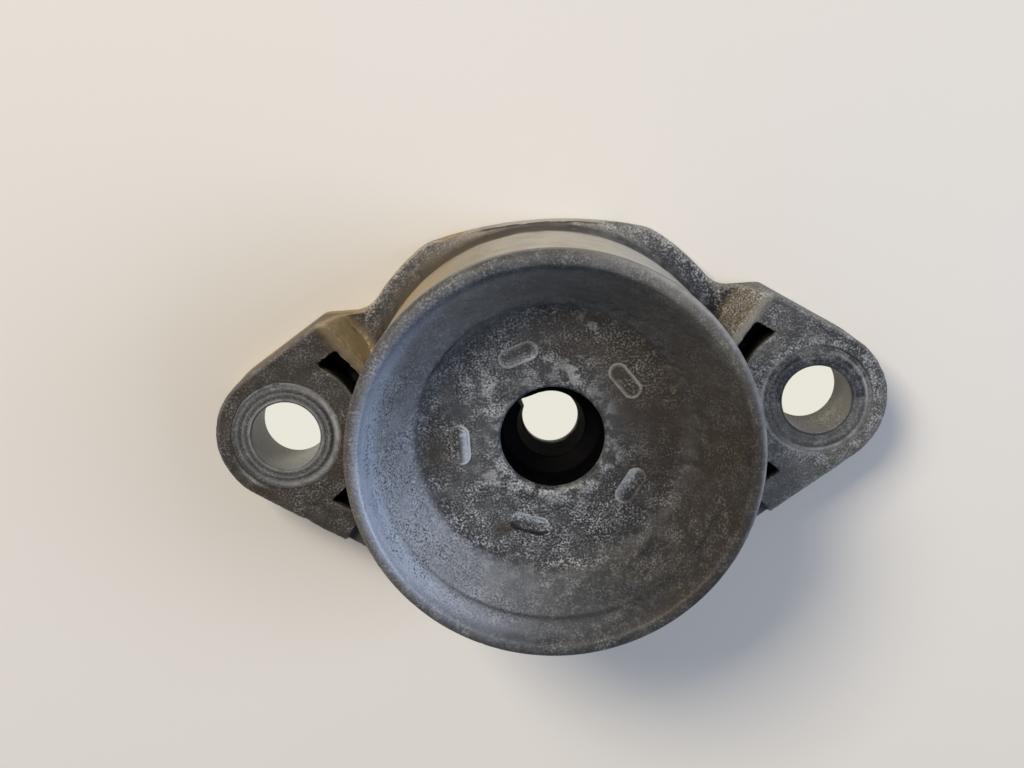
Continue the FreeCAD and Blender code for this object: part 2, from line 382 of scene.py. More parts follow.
def edge_bends(mesh: bpy.types.Mesh, rounds: int) -> Array:
    """How far the surface bends outwards at each vertex, smoothed over its neighbours.

    The bend is the mean of (p - q) . n over the neighbours q, divided by the mean
    distance, so it is positive on an outer edge and negative in a hollow.

    Args:
        mesh: the mesh to measure.
        rounds: how many times each value is averaged with its neighbours.

    Returns:
        One value for each vertex.
    """
    pairs = np.empty(len(mesh.edges) * 2, np.int32)
    mesh.edges.foreach_get("vertices", pairs)
    first, last = pairs.reshape(-1, 2).T
    points = points_of(mesh)
    normals = normals_of(mesh)
    apart = points[first] - points[last]
    length = np.linalg.norm(apart, axis=1) + 1e-6
    total = len(points)
    degree = np.bincount(first, minlength=total) + np.bincount(last, minlength=total) + 1e-6
    rise = np.bincount(first, (apart * normals[first]).sum(1) / length, total)
    rise += np.bincount(last, (-apart * normals[last]).sum(1) / length, total)
    bend = rise / degree
    for _ in range(rounds):
        spread = np.bincount(first, bend[last], total) + np.bincount(last, bend[first], total)
        bend = (bend + spread / degree) / 2
    return bend


def add_piece(name: str, mesh: bpy.types.Mesh) -> bpy.types.Object:
    """Put a mesh into the scene, at the origin.

    Args:
        name: the new object's name.
        mesh: what it holds.

    Returns:
        The new object.
    """
    piece = bpy.data.objects.new(name, mesh)
    bpy.context.scene.collection.objects.link(piece)
    return piece


def bake_modifiers(piece: bpy.types.Object) -> None:
    """Put the result of a piece's modifiers into its mesh.

    Args:
        piece: the piece to change.
    """
    bpy.context.view_layer.update()
    graph = bpy.context.evaluated_depsgraph_get()
    mesh = bpy.data.meshes.new_from_object(piece.evaluated_get(graph))
    piece.modifiers.clear()
    piece.data = mesh


def combine(piece: bpy.types.Object, other: bpy.types.Object, operation: str) -> None:
    """Cut, or join, a piece with another closed shape, which is then removed.

    Args:
        piece: the piece to change.
        other: the closed shape.
        operation: "DIFFERENCE" to cut and "UNION" to join.
    """
    step = piece.modifiers.new(operation, "BOOLEAN")
    step.operation = operation
    step.solver = "MANIFOLD"
    step.object = other
    bake_modifiers(piece)
    bpy.data.objects.remove(other)


def merge_parts(name: str, meshes: list[bpy.types.Mesh]) -> bpy.types.Object:
    """One object from closed meshes, with doubles merged and normals outwards.

    Args:
        name: the new object's name.
        meshes: what it is made of.

    Returns:
        The new object.
    """
    shape = bmesh.new()
    for mesh in meshes:
        shape.from_mesh(mesh)
    bmesh.ops.remove_doubles(shape, verts=shape.verts, dist=0.002 * MM)
    bmesh.ops.recalc_face_normals(shape, faces=shape.faces)
    merged = bpy.data.meshes.new(name)
    shape.to_mesh(merged)
    shape.free()
    return add_piece(name, merged)


def dress(
    piece: bpy.types.Object, name: str, finish: bpy.types.Material, crease_deg: float
) -> None:
    """Name a piece, give it its finish and shade it smooth up to a crease.

    Args:
        piece: the piece to dress.
        name: its name and its mesh's.
        finish: its only material.
        crease_deg: shading breaks where two faces meet at more than this.
    """
    mesh = piece.data
    piece.name = mesh.name = name
    mesh.polygons.foreach_set("use_smooth", np.ones(len(mesh.polygons), bool))
    mesh.set_sharp_from_angle(angle=math.radians(crease_deg))
    mesh.materials.clear()
    mesh.materials.append(finish)
    mesh.update()


def add_node(
    tree: bpy.types.NodeTree,
    kind: str,
    inputs: dict[str | int, object] | None = None,
    output: str | int = 0,
    **settings: object,
) -> bpy.types.NodeSocket | None:
    """Add a shader node, with its settings and what feeds its sockets.

    Args:
        tree: the material's or the world's node tree.
        kind: the node's type without the leading "ShaderNode".
        inputs: socket names or numbers, each with a value or another node's socket.
        output: name or number of the socket to give back.
        settings: property names and their values.

    Returns:
        The chosen output, or None from a node that has no outputs.
    """
    node = tree.nodes.new("ShaderNode" + kind)
    for name, value in settings.items():
        setattr(node, name, value)
    for name, value in (inputs or {}).items():
        if isinstance(value, bpy.types.NodeSocket):
            tree.links.new(value, node.inputs[name])
        else:
            node.inputs[name].default_value = value
    return node.outputs[output] if node.outputs else None


def per_mm(size: float) -> float:
    """Scale of a noise on Object coordinates whose spots are this many mm wide."""
    return 1 / (2 * size * MM)


def empty_tree(owner: bpy.types.Material | bpy.types.World) -> bpy.types.NodeTree:
    """Give a material or the world an empty node tree.

    Args:
        owner: the material or the world.

    Returns:
        Its node tree.
    """
    owner.use_nodes = True
    owner.node_tree.nodes.clear()
    return owner.node_tree


@dataclass(frozen=True)
class SkinNodes:
    """What the layers of an aluminium skin read: tree, noises, masks, turning lines."""

    tree: bpy.types.NodeTree
    noise: dict[Pattern, bpy.types.NodeSocket]
    mask: dict[Mask, bpy.types.NodeSocket]
    lines: bpy.types.NodeSocket

    def cover(
        self,
        below: object,
        above: object,
        mask: object,
        value: bpy.types.NodeSocket,
        low: float,
        high: float,
        least: float = 0.0,
    ) -> bpy.types.NodeSocket:
        """Lay one colour over another, as thick as a mask and a value make it.

        The share goes along the cubic 3t^2 - 2t^3 from its least, at the low value, to
        1, at the high one, and is multiplied by the mask.

        Args:
            below: colour that is covered.
            above: colour that covers it.
            mask: where it may lie, from 0 to 1.
            value: what breaks it up.
            low: value at which the share is least.
            high: value at which the share is 1.
            least: the least share.

        Returns:
            The mixed colour.
        """
        window = {"Value": value, "From Min": low, "From Max": high, "To Min": least}
        share = add_node(self.tree, "MapRange", window, interpolation_type="SMOOTHSTEP")
        both = {0: mask, 1: share}
        amount = add_node(self.tree, "Math", both, operation="MULTIPLY", use_clamp=True)
        colours = {0: amount, 6: below, 7: above}
        return add_node(self.tree, "Mix", colours, 2, data_type="RGBA")


@dataclass(frozen=True)
class WeatheredAluminium:
    """Aluminium with years of road salt on it, for the casting and for the cup.

    Real thing: die-cast or pressed aluminium whose skin has turned into dull grey
    oxide. The eye sees salt bloom on grains 0.19 mm wide, blotches of 1.2 mm that
    break up crust, sooty dirt, worn edges and painted shade, and clouds of 8 mm in
    which stain, dust and painted sheen come and go. Turning lines of 0.3 mm, coarser
    than real ones so that they show, give a turned or rubbed face its rings.
    """

    name: str
    dark: str
    light: str
    coats: tuple[Coat, ...]
    grit_mm: float = 0.19
    blotch_mm: float = 1.2
    cloud_mm: float = 8.0
    line_mm: float = 0.3
    grit_height_mm: float = 0.1
    line_height_mm: float = 0.03
    roughness: float = 0.62
    metallic: float = 0.2
    bloom: str = "#b6babd"
    shade: str = "#0c0c0d"
    machined: str = "#85878a"
    score: str = "#303338"
    wear: Coat = Coat(Mask.EDGE_WEAR, "#b1b1ad", Pattern.BLOTCH, 0.3, 0.55, 0.45)
    # Near-black painted shade in pockets, grooves, creases and behind sunken pegs, and the dark
    # lines of the bolt prints.
    hollow: Coat = Coat(Mask.CAVITY, "#050606", Pattern.BLOTCH, 0.3, 0.5, 0.75)
    turning_centre_x: float = 0.0

    def build(self) -> bpy.types.Material:
        """Make the material: oxide, coats, salt, turned metal, worn edges, and painted shade with
        dark marks in hollows.

        Returns:
            A material that reads the weathering masks of its piece.
        """
        material = bpy.data.materials.new(self.name)
        skin = self.skin_nodes(empty_tree(material))
        colour = self.oxide(skin)
        for coat in self.coats:
            colour = self.lay_coat(skin, colour, coat)
        colour = self.bare_metal(skin, self.salt(skin, colour))
        for coat in (self.wear, self.hollow):
            colour = self.lay_coat(skin, colour, coat)
        # Where the painted sheen lies, the metal is also made smoother and shows turning lines, as
        # turned metal does.
        either = {0: skin.mask[Mask.BLUE_SHEEN], 1: skin.mask[Mask.MACHINED]}
        rubbed = add_node(skin.tree, "Math", either, operation="MAXIMUM", use_clamp=True)
        surface = {
            "Base Color": colour,
            "Metallic": self.metallic,
            "Roughness": self.gloss(skin, rubbed),
            "Normal": self.relief(skin, rubbed),
        }
        shader = add_node(skin.tree, "BsdfPrincipled", surface)
        add_node(skin.tree, "OutputMaterial", {"Surface": shader})
        return material

    def skin_nodes(self, tree: bpy.types.NodeTree) -> SkinNodes:
        """Noises, masks and turning lines that the layers read.

        Args:
            tree: the material's node tree.

        Returns:
            The sockets that carry them.
        """
        place = add_node(tree, "TexCoord", output="Object")
        noise = {}
        for pattern, size, detail in (
            (Pattern.GRIT, self.grit_mm, 1.0),
            (Pattern.BLOTCH, self.blotch_mm, 3.0),
            (Pattern.CLOUD, self.cloud_mm, 3.0),
        ):
            spots = {"Vector": place, "Scale": per_mm(size), "Detail": detail, "Roughness": 0.6}
            noise[pattern] = add_node(tree, "TexNoise", spots)
        mask = {
            kind: add_node(tree, "Attribute", output="Fac", attribute_name=kind.value)
            for kind in Mask
        }
        return SkinNodes(tree, noise, mask, self.turning_lines(tree, place))

    def turning_lines(
        self, tree: bpy.types.NodeTree, place: bpy.types.NodeSocket
    ) -> bpy.types.NodeSocket:
        """Fine rings about Z, or about both bolt holes, from noise over the radius.

        The radius is the length of (|x| - centre, y).

        Args:
            tree: the material's node tree.
            place: Object coordinates.

        Returns:
            The lines' value.
        """
        parts = add_node(tree, "SeparateXYZ", {0: place}).node.outputs
        side = add_node(tree, "Math", {0: parts[0]}, operation="ABSOLUTE")
        centre = self.turning_centre_x * MM
        across = add_node(tree, "Math", {0: side, 1: centre}, operation="SUBTRACT")
        flat = add_node(tree, "CombineXYZ", {0: across, 1: parts[1]})
        radius = add_node(tree, "VectorMath", {0: flat}, "Value", operation="LENGTH")
        rings = {"W": radius, "Scale": per_mm(self.line_mm), "Detail": 3.0, "Roughness": 0.7}
        return add_node(tree, "TexNoise", rings, noise_dimensions="1D")

    def oxide(self, skin: SkinNodes) -> bpy.types.NodeSocket:
        """Dull oxide: clouds of lighter and darker grey, half of each with blotches.

        Args:
            skin: what the layers read.

        Returns:
            The colour below every coat.
        """
        dark, light = linear_colour(self.dark), linear_colour(self.light)
        clouds = skin.cover(dark, light, 1.0, skin.noise[Pattern.CLOUD], 0.36, 0.64)
        spots = skin.cover(dark, light, 1.0, skin.noise[Pattern.BLOTCH], 0.34, 0.66)
        return add_node(skin.tree, "Mix", {0: 0.5, 6: clouds, 7: spots}, 2, data_type="RGBA")

    def lay_coat(
        self, skin: SkinNodes, colour: bpy.types.NodeSocket, coat: Coat
    ) -> bpy.types.NodeSocket:
        """Lay one coat of weathering over the colour.

        Args:
            skin: what the layers read.
            colour: the colour so far.
            coat: the kind of weathering.

        Returns:
            The colour with the coat on it.
        """
        above, mask = linear_colour(coat.colour), skin.mask[coat.mask]
        noise = skin.noise[coat.pattern]
        return skin.cover(colour, above, mask, noise, coat.low, coat.high, coat.least)

    def salt(self, skin: SkinNodes, colour: bpy.types.NodeSocket) -> bpy.types.NodeSocket:
        """Pale salt on the tops of the grains and shade between them, in clumps.

        Args:
            skin: what the layers read.
            colour: the colour so far.

        Returns:
            The colour with the salt on it.
        """
        tree, grit, blotch = skin.tree, skin.noise[Pattern.GRIT], skin.noise[Pattern.BLOTCH]
        grains = add_node(tree, "Mix", {0: 0.2, 6: grit, 7: blotch}, 2, data_type="RGBA")
        window = {"Value": blotch, "From Min": 0.34, "From Max": 0.66, "To Min": 0.55}
        clumps = add_node(tree, "MapRange", window, interpolation_type="SMOOTHSTEP")
        both = {0: skin.mask[Mask.GRAIN], 1: clumps}
        amount = add_node(tree, "Math", both, operation="MULTIPLY", use_clamp=True)
        colour = skin.cover(colour, linear_colour(self.shade), amount, grains, 0.56, 0.32)
        return skin.cover(colour, linear_colour(self.bloom), amount, grains, 0.46, 0.72)

    def bare_metal(self, skin: SkinNodes, colour: bpy.types.NodeSocket) -> bpy.types.NodeSocket:
        """Turned metal in rings of light and dark.

        Args:
            skin: what the layers read.
            colour: the colour so far.

        Returns:
            The colour with the turned places bare.
        """
        score, machined = linear_colour(self.score), linear_colour(self.machined)
        metal = skin.cover(score, machined, 1.0, skin.lines, 0.35, 0.65)
        layers = {0: skin.mask[Mask.MACHINED], 6: colour, 7: metal}
        return add_node(skin.tree, "Mix", layers, 2, data_type="RGBA")

    def gloss(self, skin: SkinNodes, rubbed: bpy.types.NodeSocket) -> bpy.types.NodeSocket:
        """Roughness: dull oxide, within 0.1 by blotches, and satin where rubbed.

        Args:
            skin: what the layers read.
            rubbed: where the metal was rubbed smooth.

        Returns:
            The roughness.
        """
        spread = {
            "Value": skin.noise[Pattern.BLOTCH],
            "To Min": self.roughness - 0.1,
            "To Max": self.roughness + 0.1,
        }
        base = add_node(skin.tree, "MapRange", spread)
        less = add_node(skin.tree, "Math", {0: rubbed, 1: 0.2}, operation="MULTIPLY")
        return add_node(skin.tree, "Math", {0: base, 1: less}, operation="SUBTRACT", use_clamp=True)

    def relief(self, skin: SkinNodes, rubbed: bpy.types.NodeSocket) -> bpy.types.NodeSocket:
        """Bumps: grains stand up, and turning lines show where the metal was rubbed.

        The grains' strength is 0.7 of their mask plus 0.2, and their height is the grit
        plus half of the blotches.

        Args:
            skin: what the layers read.
            rubbed: where the metal was rubbed smooth.

        Returns:
            The bumped normal.
        """
        clamped = {"operation": "MULTIPLY_ADD", "use_clamp": True}
        grainy = {0: skin.mask[Mask.GRAIN], 1: 0.7, 2: 0.2}
        tops = {0: skin.noise[Pattern.BLOTCH], 1: 0.5, 2: skin.noise[Pattern.GRIT]}
        grains = {
            "Strength": add_node(skin.tree, "Math", grainy, **clamped),
            "Distance": self.grit_height_mm * MM,
            "Height": add_node(skin.tree, "Math", tops, **clamped),
        }
        rings = {
            "Strength": add_node(skin.tree, "Math", {0: rubbed, 1: 0.5}, operation="MULTIPLY"),
            "Distance": self.line_height_mm * MM,
            "Height": skin.lines,
            "Normal": add_node(skin.tree, "Bump", grains),
        }
        return add_node(skin.tree, "Bump", rings)


# Coats that lie on the casting and on the cup alike, from the lowest up.
COMMON_COATS = (
    Coat(Mask.BROWN_STAIN, "#3a3023", Pattern.CLOUD, 0.25, 0.6, 0.82),
    # Near-black sooty dirt, and painted shade in the casting's low troughs.
    Coat(Mask.SOOT, "#14161b", Pattern.BLOTCH, 0.66, 0.4, 0.35),
    Coat(Mask.CRUST, "#9b9c99", Pattern.BLOTCH, 0.46, 0.57, 0.0),
    Coat(Mask.TAN_DUST, "#9f8c66", Pattern.CLOUD, 0.25, 0.55, 0.75),
    Coat(Mask.PALE_DUST, "#b2ad9f", Pattern.CLOUD, 0.25, 0.55, 0.75),
    # Painted sheen: a pale blue coat for the cool lamp's light, reflected where metal faces the
    # right: the bowl's left side and lip band, the left bore, the wall's upper right and the pegs'
    # inner sides.
    Coat(Mask.BLUE_SHEEN, "#c0cbdc", Pattern.CLOUD, 0.3, 0.6, 0.75),
)


@dataclass(frozen=True)
class PatchyFinish:
    """A plain finish with patches of a second colour, which its bumps follow.

    The second colour comes in as a noise goes from low to high.
    """

    name: str
    plain: str
    patch: str
    patch_mm: float
    detail: float
    low: float
    high: float
    bump: float
    surface: tuple[tuple[str, float], ...]
    bump_mm: float = 0.05

    def build(self) -> bpy.types.Material:
        """Make the material.

        Returns:
            The finished material.
        """
        material = bpy.data.materials.new(self.name)
        tree = empty_tree(material)
        place = add_node(tree, "TexCoord", output="Object")
        spots = {"Vector": place, "Scale": per_mm(self.patch_mm), "Detail": self.detail}
        noise = add_node(tree, "TexNoise", spots)
        window = {"Value": noise, "From Min": self.low, "From Max": self.high}
        share = add_node(tree, "MapRange", window)
        colours = {0: share, 6: linear_colour(self.plain), 7: linear_colour(self.patch)}
        bumps = {"Strength": self.bump, "Distance": self.bump_mm * MM, "Height": noise}
        surface = {
            "Base Color": add_node(tree, "Mix", colours, 2, data_type="RGBA"),
            "Normal": add_node(tree, "Bump", bumps),
            **dict(self.surface),
        }
        shader = add_node(tree, "BsdfPrincipled", surface)
        add_node(tree, "OutputMaterial", {"Surface": shader})
        return material


# Moulded natural rubber: black and matt, a little greyer in patches of 0.9 mm where
# fine dust has caught.
MOULDED_RUBBER = PatchyFinish(
    "moulded_rubber",
    plain="#020203",
    patch="#08080a",
    patch_mm=0.9,
    detail=4.0,
    low=0.5,
    high=0.8,
    bump=0.5,
    surface=(("Roughness", 0.7), ("IOR", 1.52), ("Specular IOR Level", 0.06)),
)
# Stamped sheet steel: dull grey metal under patches of brown rust 1.6 mm wide.
STAMPED_STEEL = PatchyFinish(
    "stamped_steel",
    plain="#6f6c68",
    patch="#4a3222",
    patch_mm=1.6,
    detail=5.0,
    low=0.45,
    high=0.6,
    bump=0.4,
    surface=(("Metallic", 0.7), ("Roughness", 0.5)),
)

# Bright arcs, then dark lines, of the bolt print on each side. The bright arcs are
# rubbed metal, and on the print's raised edge partly a painted highlight. Each row
# gives radius and width in mm, middle and spread in degrees, and strength. A spread
# of infinity goes all round.
PRINT_ARCS = {
    -1: (
        (
            (9.75, 0.4, 12, 55, 0.95),
            (10.9, 0.28, 226, 15, 0.9),
            (9.6, 0.5, 285, 42, 0.45),
            (10.1, 0.16, 105, 45, 0.7),
            (6.95, 0.2, 0, math.inf, 0.5),
        ),
        (
            (8.9, 0.3, 0, 50, 0.8),
            (10.35, 0.18, 265, 75, 0.7),
            (9.0, 0.25, 190, 45, 0.5),
            (6.62, 0.12, 0, math.inf, 0.6),
        ),
    ),
    1: (
        (
            (9.35, 0.22, 22, 36, 0.8),
            (10.3, 0.25, 200, 95, 0.75),
            (9.65, 0.3, 285, 45, 0.65),
            (10.2, 0.2, 5, 30, 0.5),
        ),
        (
            (10.42, 0.2, 55, 50, 0.9),
            (9.1, 0.25, 290, 55, 0.7),
            (6.75, 0.22, 0, math.inf, 0.8),
        ),
    ),
}


class PegState(Enum):
    """How the years have left one staked peg.

    Bead, dish and lumps in millimetres, then how pale its outline and its side towards
    the centre are, and how strong the painted shade on its outer side is, from 0 to 1.
    The side towards the centre takes pale crust and painted sheen.
    """

    CRISP = (0.14, 0.10, 0.03, 0.5, 0.0, 0.0)
    DUSTY = (0.14, 0.10, 0.03, 0.4, 0.2, 0.0)
    LUMPY = (0.30, 0.06, 0.10, 0.25, 0.9, 0.35)
    SUNKEN = (0.04, 0.36, 0.06, 0.0, 0.5, 1.0)
    FAINT = (0.12, 0.06, 0.07, 0.3, 0.35, 0.4)


@dataclass
class CastHousing:
    """The aluminium die casting: flange, ears, ribs, wall and the staked pegs."""

    ear_x: float = 50.0
    ear_thickness: float = 13.0
    bolt_hole_r: float = 6.5
    hole_chamfer: float = 0.2
    print_r: float = 10.3
    print_depth: float = 0.2
    print_marks_z: float = 12.4
    plug_r: float = 11.0
    boss_r: float = 15.0
    wall_r: float = 34.8
    wall_foot_z: float = 9.5
    rib_angle: float = 52.0
    rib_start: tuple[float, float] = (34.4, 13.2)
    rib_thickness: float = 2.1
    rib_foot_spread: float = 3.0
    deck_top_z: float = 24.8
    cup_floor_z: float = 27.0
    peg_pitch_r: float = 16.4
    peg_length: float = 7.1
    peg_width: float = 3.3
    head_room_r: float = 21.0
    voxel_mm: float = 0.5
    pegs: tuple[tuple[float, PegState], ...] = (
        (180, PegState.LUMPY),
        (252, PegState.SUNKEN),
        (324, PegState.FAINT),
        (36, PegState.CRISP),
        (108, PegState.DUSTY),
    )
    skin: WeatheredAluminium = field(
        default_factory=lambda: WeatheredAluminium(
            "die_cast_aluminium",
            dark="#383836",
            light="#605f5c",
            coats=COMMON_COATS,
            turning_centre_x=50.0,
        )
    )

    def build(self) -> bpy.types.Object:
        """Make the casting from its solid: an even skin, roughened, with crisp holes.

        Returns:
            The finished piece, which stands for the solid.
        """
        piece = self.blank()
        self.thin_hidden(piece)
        push_out(piece.data, self.skin_height)
        combine(piece, self.cutters(), "DIFFERENCE")
        heads = [self.peg_head(angle, state) for angle, state in self.pegs]
        combine(piece, merge_parts("pegs", heads), "UNION")
        dress(piece, "housing_casting", self.skin.build(), crease_deg=38)
        self.mark_weather(piece.data)
        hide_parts("housing")
        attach(piece, BODY)
        return piece

    def blank(self) -> bpy.types.Object:
        """The solid with its bolt holes filled, as even quads laid back on its faces.

        Returns:
            The even skin.
        """
        low, high, wide = 0.1, self.ear_thickness - 0.1, self.plug_r
        plug = turned_grid(np.array([[0.01, low], [wide, low], [wide, high], [0.01, high]]), 64)
        meshes = [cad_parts["housing"].data]
        for side in (-1, 1):
            meshes.append(grid_mesh("plug", plug + np.array([side * self.ear_x, 0, 0])))
        piece = merge_parts("blank", meshes)
        target = merge_parts("target", meshes)
        remesh = piece.modifiers.new("even", "REMESH")
        remesh.mode = "VOXEL"
        remesh.voxel_size = self.voxel_mm * MM
        bake_modifiers(piece)
        wrap = piece.modifiers.new("settle", "SHRINKWRAP")
        wrap.wrap_method = "NEAREST_SURFACEPOINT"
        wrap.target = target
        bake_modifiers(piece)
        bpy.data.objects.remove(target)
        return piece

    def thin_hidden(self, piece: bpy.types.Object) -> None:
        """Collapse most faces that no eye reaches, so that the rest can be fine.

        They lie inside the wall and under the deck, and on the flat back.

        Args:
            piece: the even skin.
        """
        points = points_of(piece.data)
        radius, _ = around_axis(points)
        inside = (radius < self.wall_r - 0.6) & (points[:, 2] > 1.0)
        back = (points[:, 2] < 0.05) & (radius < self.ear_x)
        where = inside | back
        group = piece.vertex_groups.new(name="hidden")
        group.add(np.flatnonzero(where).tolist(), 1.0, "REPLACE")
        collapse = piece.modifiers.new("thin", "DECIMATE")
        collapse.vertex_group = group.name
        collapse.ratio = 1 - 0.9 * float(where.mean())
        bake_modifiers(piece)
        piece.vertex_groups.clear()

    def skin_height(self, points: Array, normals: Array) -> Array:
        """Height of the casting's rough skin: waves, lumps, pits and a crumbled edge.

        Waves are 7 mm wide, lumps 1.6 mm, and pits go down where a third noise passes a
        limit. The upper edge of the flange has lost crumbs up to 0.3 mm deep. The skin
        stays inwards of the solid at the extremes, and flat on the mounting face.

        Args:
            points: places in millimetres.
            normals: directions, which the height doesn't need.

        Returns:
            The height at each point, in millimetres.
        """
        waves = LatticeNoise(7.0, 11)(points)
        lumps = LatticeNoise(1.6, 23)(points)
        pits = smooth_step(LatticeNoise(2.4, 31)(points), 0.45, 0.9)
        height = 0.05 * waves + 0.05 * lumps - 0.16 * pits - 0.04
        rim = smooth_step(points[:, 1], 26, 31) * (1 - smooth_step(points[:, 2], 4.2, 5.2))
        rim *= smooth_step(around_axis(points)[0], 35.4, 36.4)
        crumbs = smooth_step(LatticeNoise(1.4, 37, 3)(points), -0.1, 0.5)
        height -= 0.3 * rim * crumbs
        seated = smooth_step(points[:, 2], 0.2, 1.0)
        return height * seated

    def print_shine(self, side: int, radius: Array, turn: Array) -> tuple[Array, Array]:
        """Bright arcs, rubbed metal and partly a painted highlight, and dark lines in one bolt
        print and just round it.

        Each is a bell curve over the radius times a bell curve over the angle.

        Args:
            side: 1 for the right print and -1 for the left one.
            radius: distance from the bolt's axis.
            turn: angle round the axis in degrees, from +X.

        Returns:
            How bright and how dark each place is, from 0 to 1.
        """
        bright, dark = (
            sum(near(radius, *row[:2]) * turn_near(turn, *row[2:4]) * row[4] for row in rows)
            for rows in PRINT_ARCS[side]
        )
        return bright, dark

    def print_relief(self, side: int, radius: Array, turn: Array) -> Array:
        """Height of the turned scratches in a bolt print: rings that come and go.

        Args:
            side: 1 for the right print and -1 for the left one.
            radius: distance from the bolt's axis.
            turn: angle round the axis in degrees, from +X.

        Returns:
            The height at each place, in millimetres.
        """
        flat, along = radius.ravel(), np.radians(turn.ravel()) * 0.7
        places = np.stack([flat, along, np.full(flat.shape, 9.0 * side)], axis=1)
        scratches = LatticeNoise(0.45, 83)(places).reshape(radius.shape)
        bright, dark = self.print_shine(side, radius, turn)
        return 0.02 * scratches + 0.03 * bright - 0.05 * dark

    def cutters(self) -> bpy.types.Object:
        """Both bolt holes with chamfers and bolt prints, and the room for peg heads.

        Returns:
            The closed shapes to cut away, as one object.
        """
        seat = self.ear_thickness - self.print_depth
        bore, chamfer = self.bolt_hole_r, self.hole_chamfer
        wide, past = bore + chamfer, 2.0
        start = [(0.0, -1.0), (wide + 1.0, -1.0), (bore, chamfer), (bore, seat - chamfer)]
        floor = [(r, seat) for r in np.arange(wide, self.print_r, 0.2)]
        end = [(self.print_r + 0.05, seat), (self.print_r + 0.4, seat + past), (0.0, seat + past)]
        section = np.array([*start, *floor, *end])
        rows = slice(len(start) + 1, len(start) + len(floor))
        meshes = []
        for side in (-1, 1):
            grid = turned_grid(section, 240)
            part = grid[rows]
            part[..., 2] += self.print_relief(side, *around_axis(part))
            grid[..., 0] += side * self.ear_x
            meshes.append(grid_mesh("bolt", grid, closed_rows=False))
        low, high = self.deck_top_z + 0.6, self.cup_floor_z + 3
        wide = self.head_room_r
        room = np.array([(0.0, low), (wide, low), (wide, high), (0.0, high)])
        meshes.append(grid_mesh("room", turned_grid(room, 96), closed_rows=False))
        return merge_parts("cutters", meshes)

    def peg_head(self, angle: float, state: PegState) -> bpy.types.Mesh:
        """One peg: a dished oval head with a spread bead, on a stem down to the deck.

        Each ring of the head is an oval: its middle line, from (0, -h) to (0, h), moved
        out by a distance d. The section gives the height over d: a dish that rises as
        d^2 to the bead, a round bead, and the stem.

        Args:
            angle: the peg's place round the cup, in degrees.
            state: how the years have left it.

        Returns:
            The peg's mesh.
        """
        bead, dish, lump = state.value[:3]
        half = (self.peg_length - self.peg_width) / 2
        radius = self.peg_width / 2
        caps = np.linspace(0, math.pi, 20)
        runs = np.linspace(half, -half, 14)[1:-1]
        end, flat = np.full(len(caps), half), np.ones(len(runs))
        middle_y = np.concatenate([end, runs, -end, runs[::-1]])
        out_x = np.concatenate([np.cos(caps), -flat, -np.cos(caps), flat])
        out_y = np.concatenate([np.sin(caps), 0 * flat, -np.sin(caps), 0 * flat])
        inner = np.linspace(0, radius - 0.35, 9)
        rise = bead - dish + 0.4 * dish * (inner / inner[-1]) ** 2
        edge = np.linspace(0, math.pi, 8)
        bead_d = radius - 0.08 - 0.24 * np.cos(edge)
        bead_z = bead * (0.55 + 0.45 * np.sin(edge)) - np.where(edge > 2.7, bead, 0)
        stem = [radius + 0.12, radius - 0.08, radius - 0.08, 0]
        section_d = np.concatenate([inner, bead_d, stem])
        section_z = np.concatenate([rise, bead_z, [-0.25, -0.25, -2.9, -2.9]]) + self.cup_floor_z
        grid = np.stack(
            [
                self.peg_pitch_r + section_d[:, None] * out_x,
                middle_y + section_d[:, None] * out_y,
                np.broadcast_to(section_z[:, None], (len(section_z), len(out_x))),
            ],
            axis=-1,
        )
        points = turned(grid, angle).reshape(-1, 3)
        top = points[:, 2] > self.cup_floor_z - 0.1
        points[:, 2] += top * lump * LatticeNoise(1.1, int(angle))(points)
        return grid_mesh("peg", points.reshape(grid.shape), closed_rows=False)

    def rib_offset(self, points: Array) -> Array:
        """Distance from each rib's outer crest towards the ear, measured across the rib.

        It is x sin a - y cos a from the crest's start, where a is the rib's angle.

        Args:
            points: places in millimetres.

        Returns:
            The distance of each point, in millimetres.
        """
        turn = math.radians(self.rib_angle)
        along_x = np.abs(points[:, 0]) - self.rib_start[0]
        along_y = np.abs(points[:, 1]) - self.rib_start[1]
        return along_x * math.sin(turn) - along_y * math.cos(turn)

    def shade_in_pocket(self, points: Array, bolt_r: Array, radius: Array) -> Array:
        """Painted shade inside the four pockets, which fades to black below their mouths.

        Args:
            points: places in millimetres.
            bolt_r: distance of each from the nearer bolt's axis.
            radius: distance of each from the rod's axis.

        Returns:
            How dark each point is, from 0 to 1.
        """
        x, y, z = np.abs(points[:, 0]), np.abs(points[:, 1]), points[:, 2]
        within = (bolt_r > self.boss_r - 0.25) & (radius > self.wall_r - 0.3) & (x < 47.5)
        within &= self.rib_offset(points) > self.rib_thickness - 0.3
        within &= (y > 3.0) & (y < 20.0 - 0.55 * (x - 36.0))
        return within * (1 - smooth_step(z, 10.6, 12.7)) * (z > 3.3)

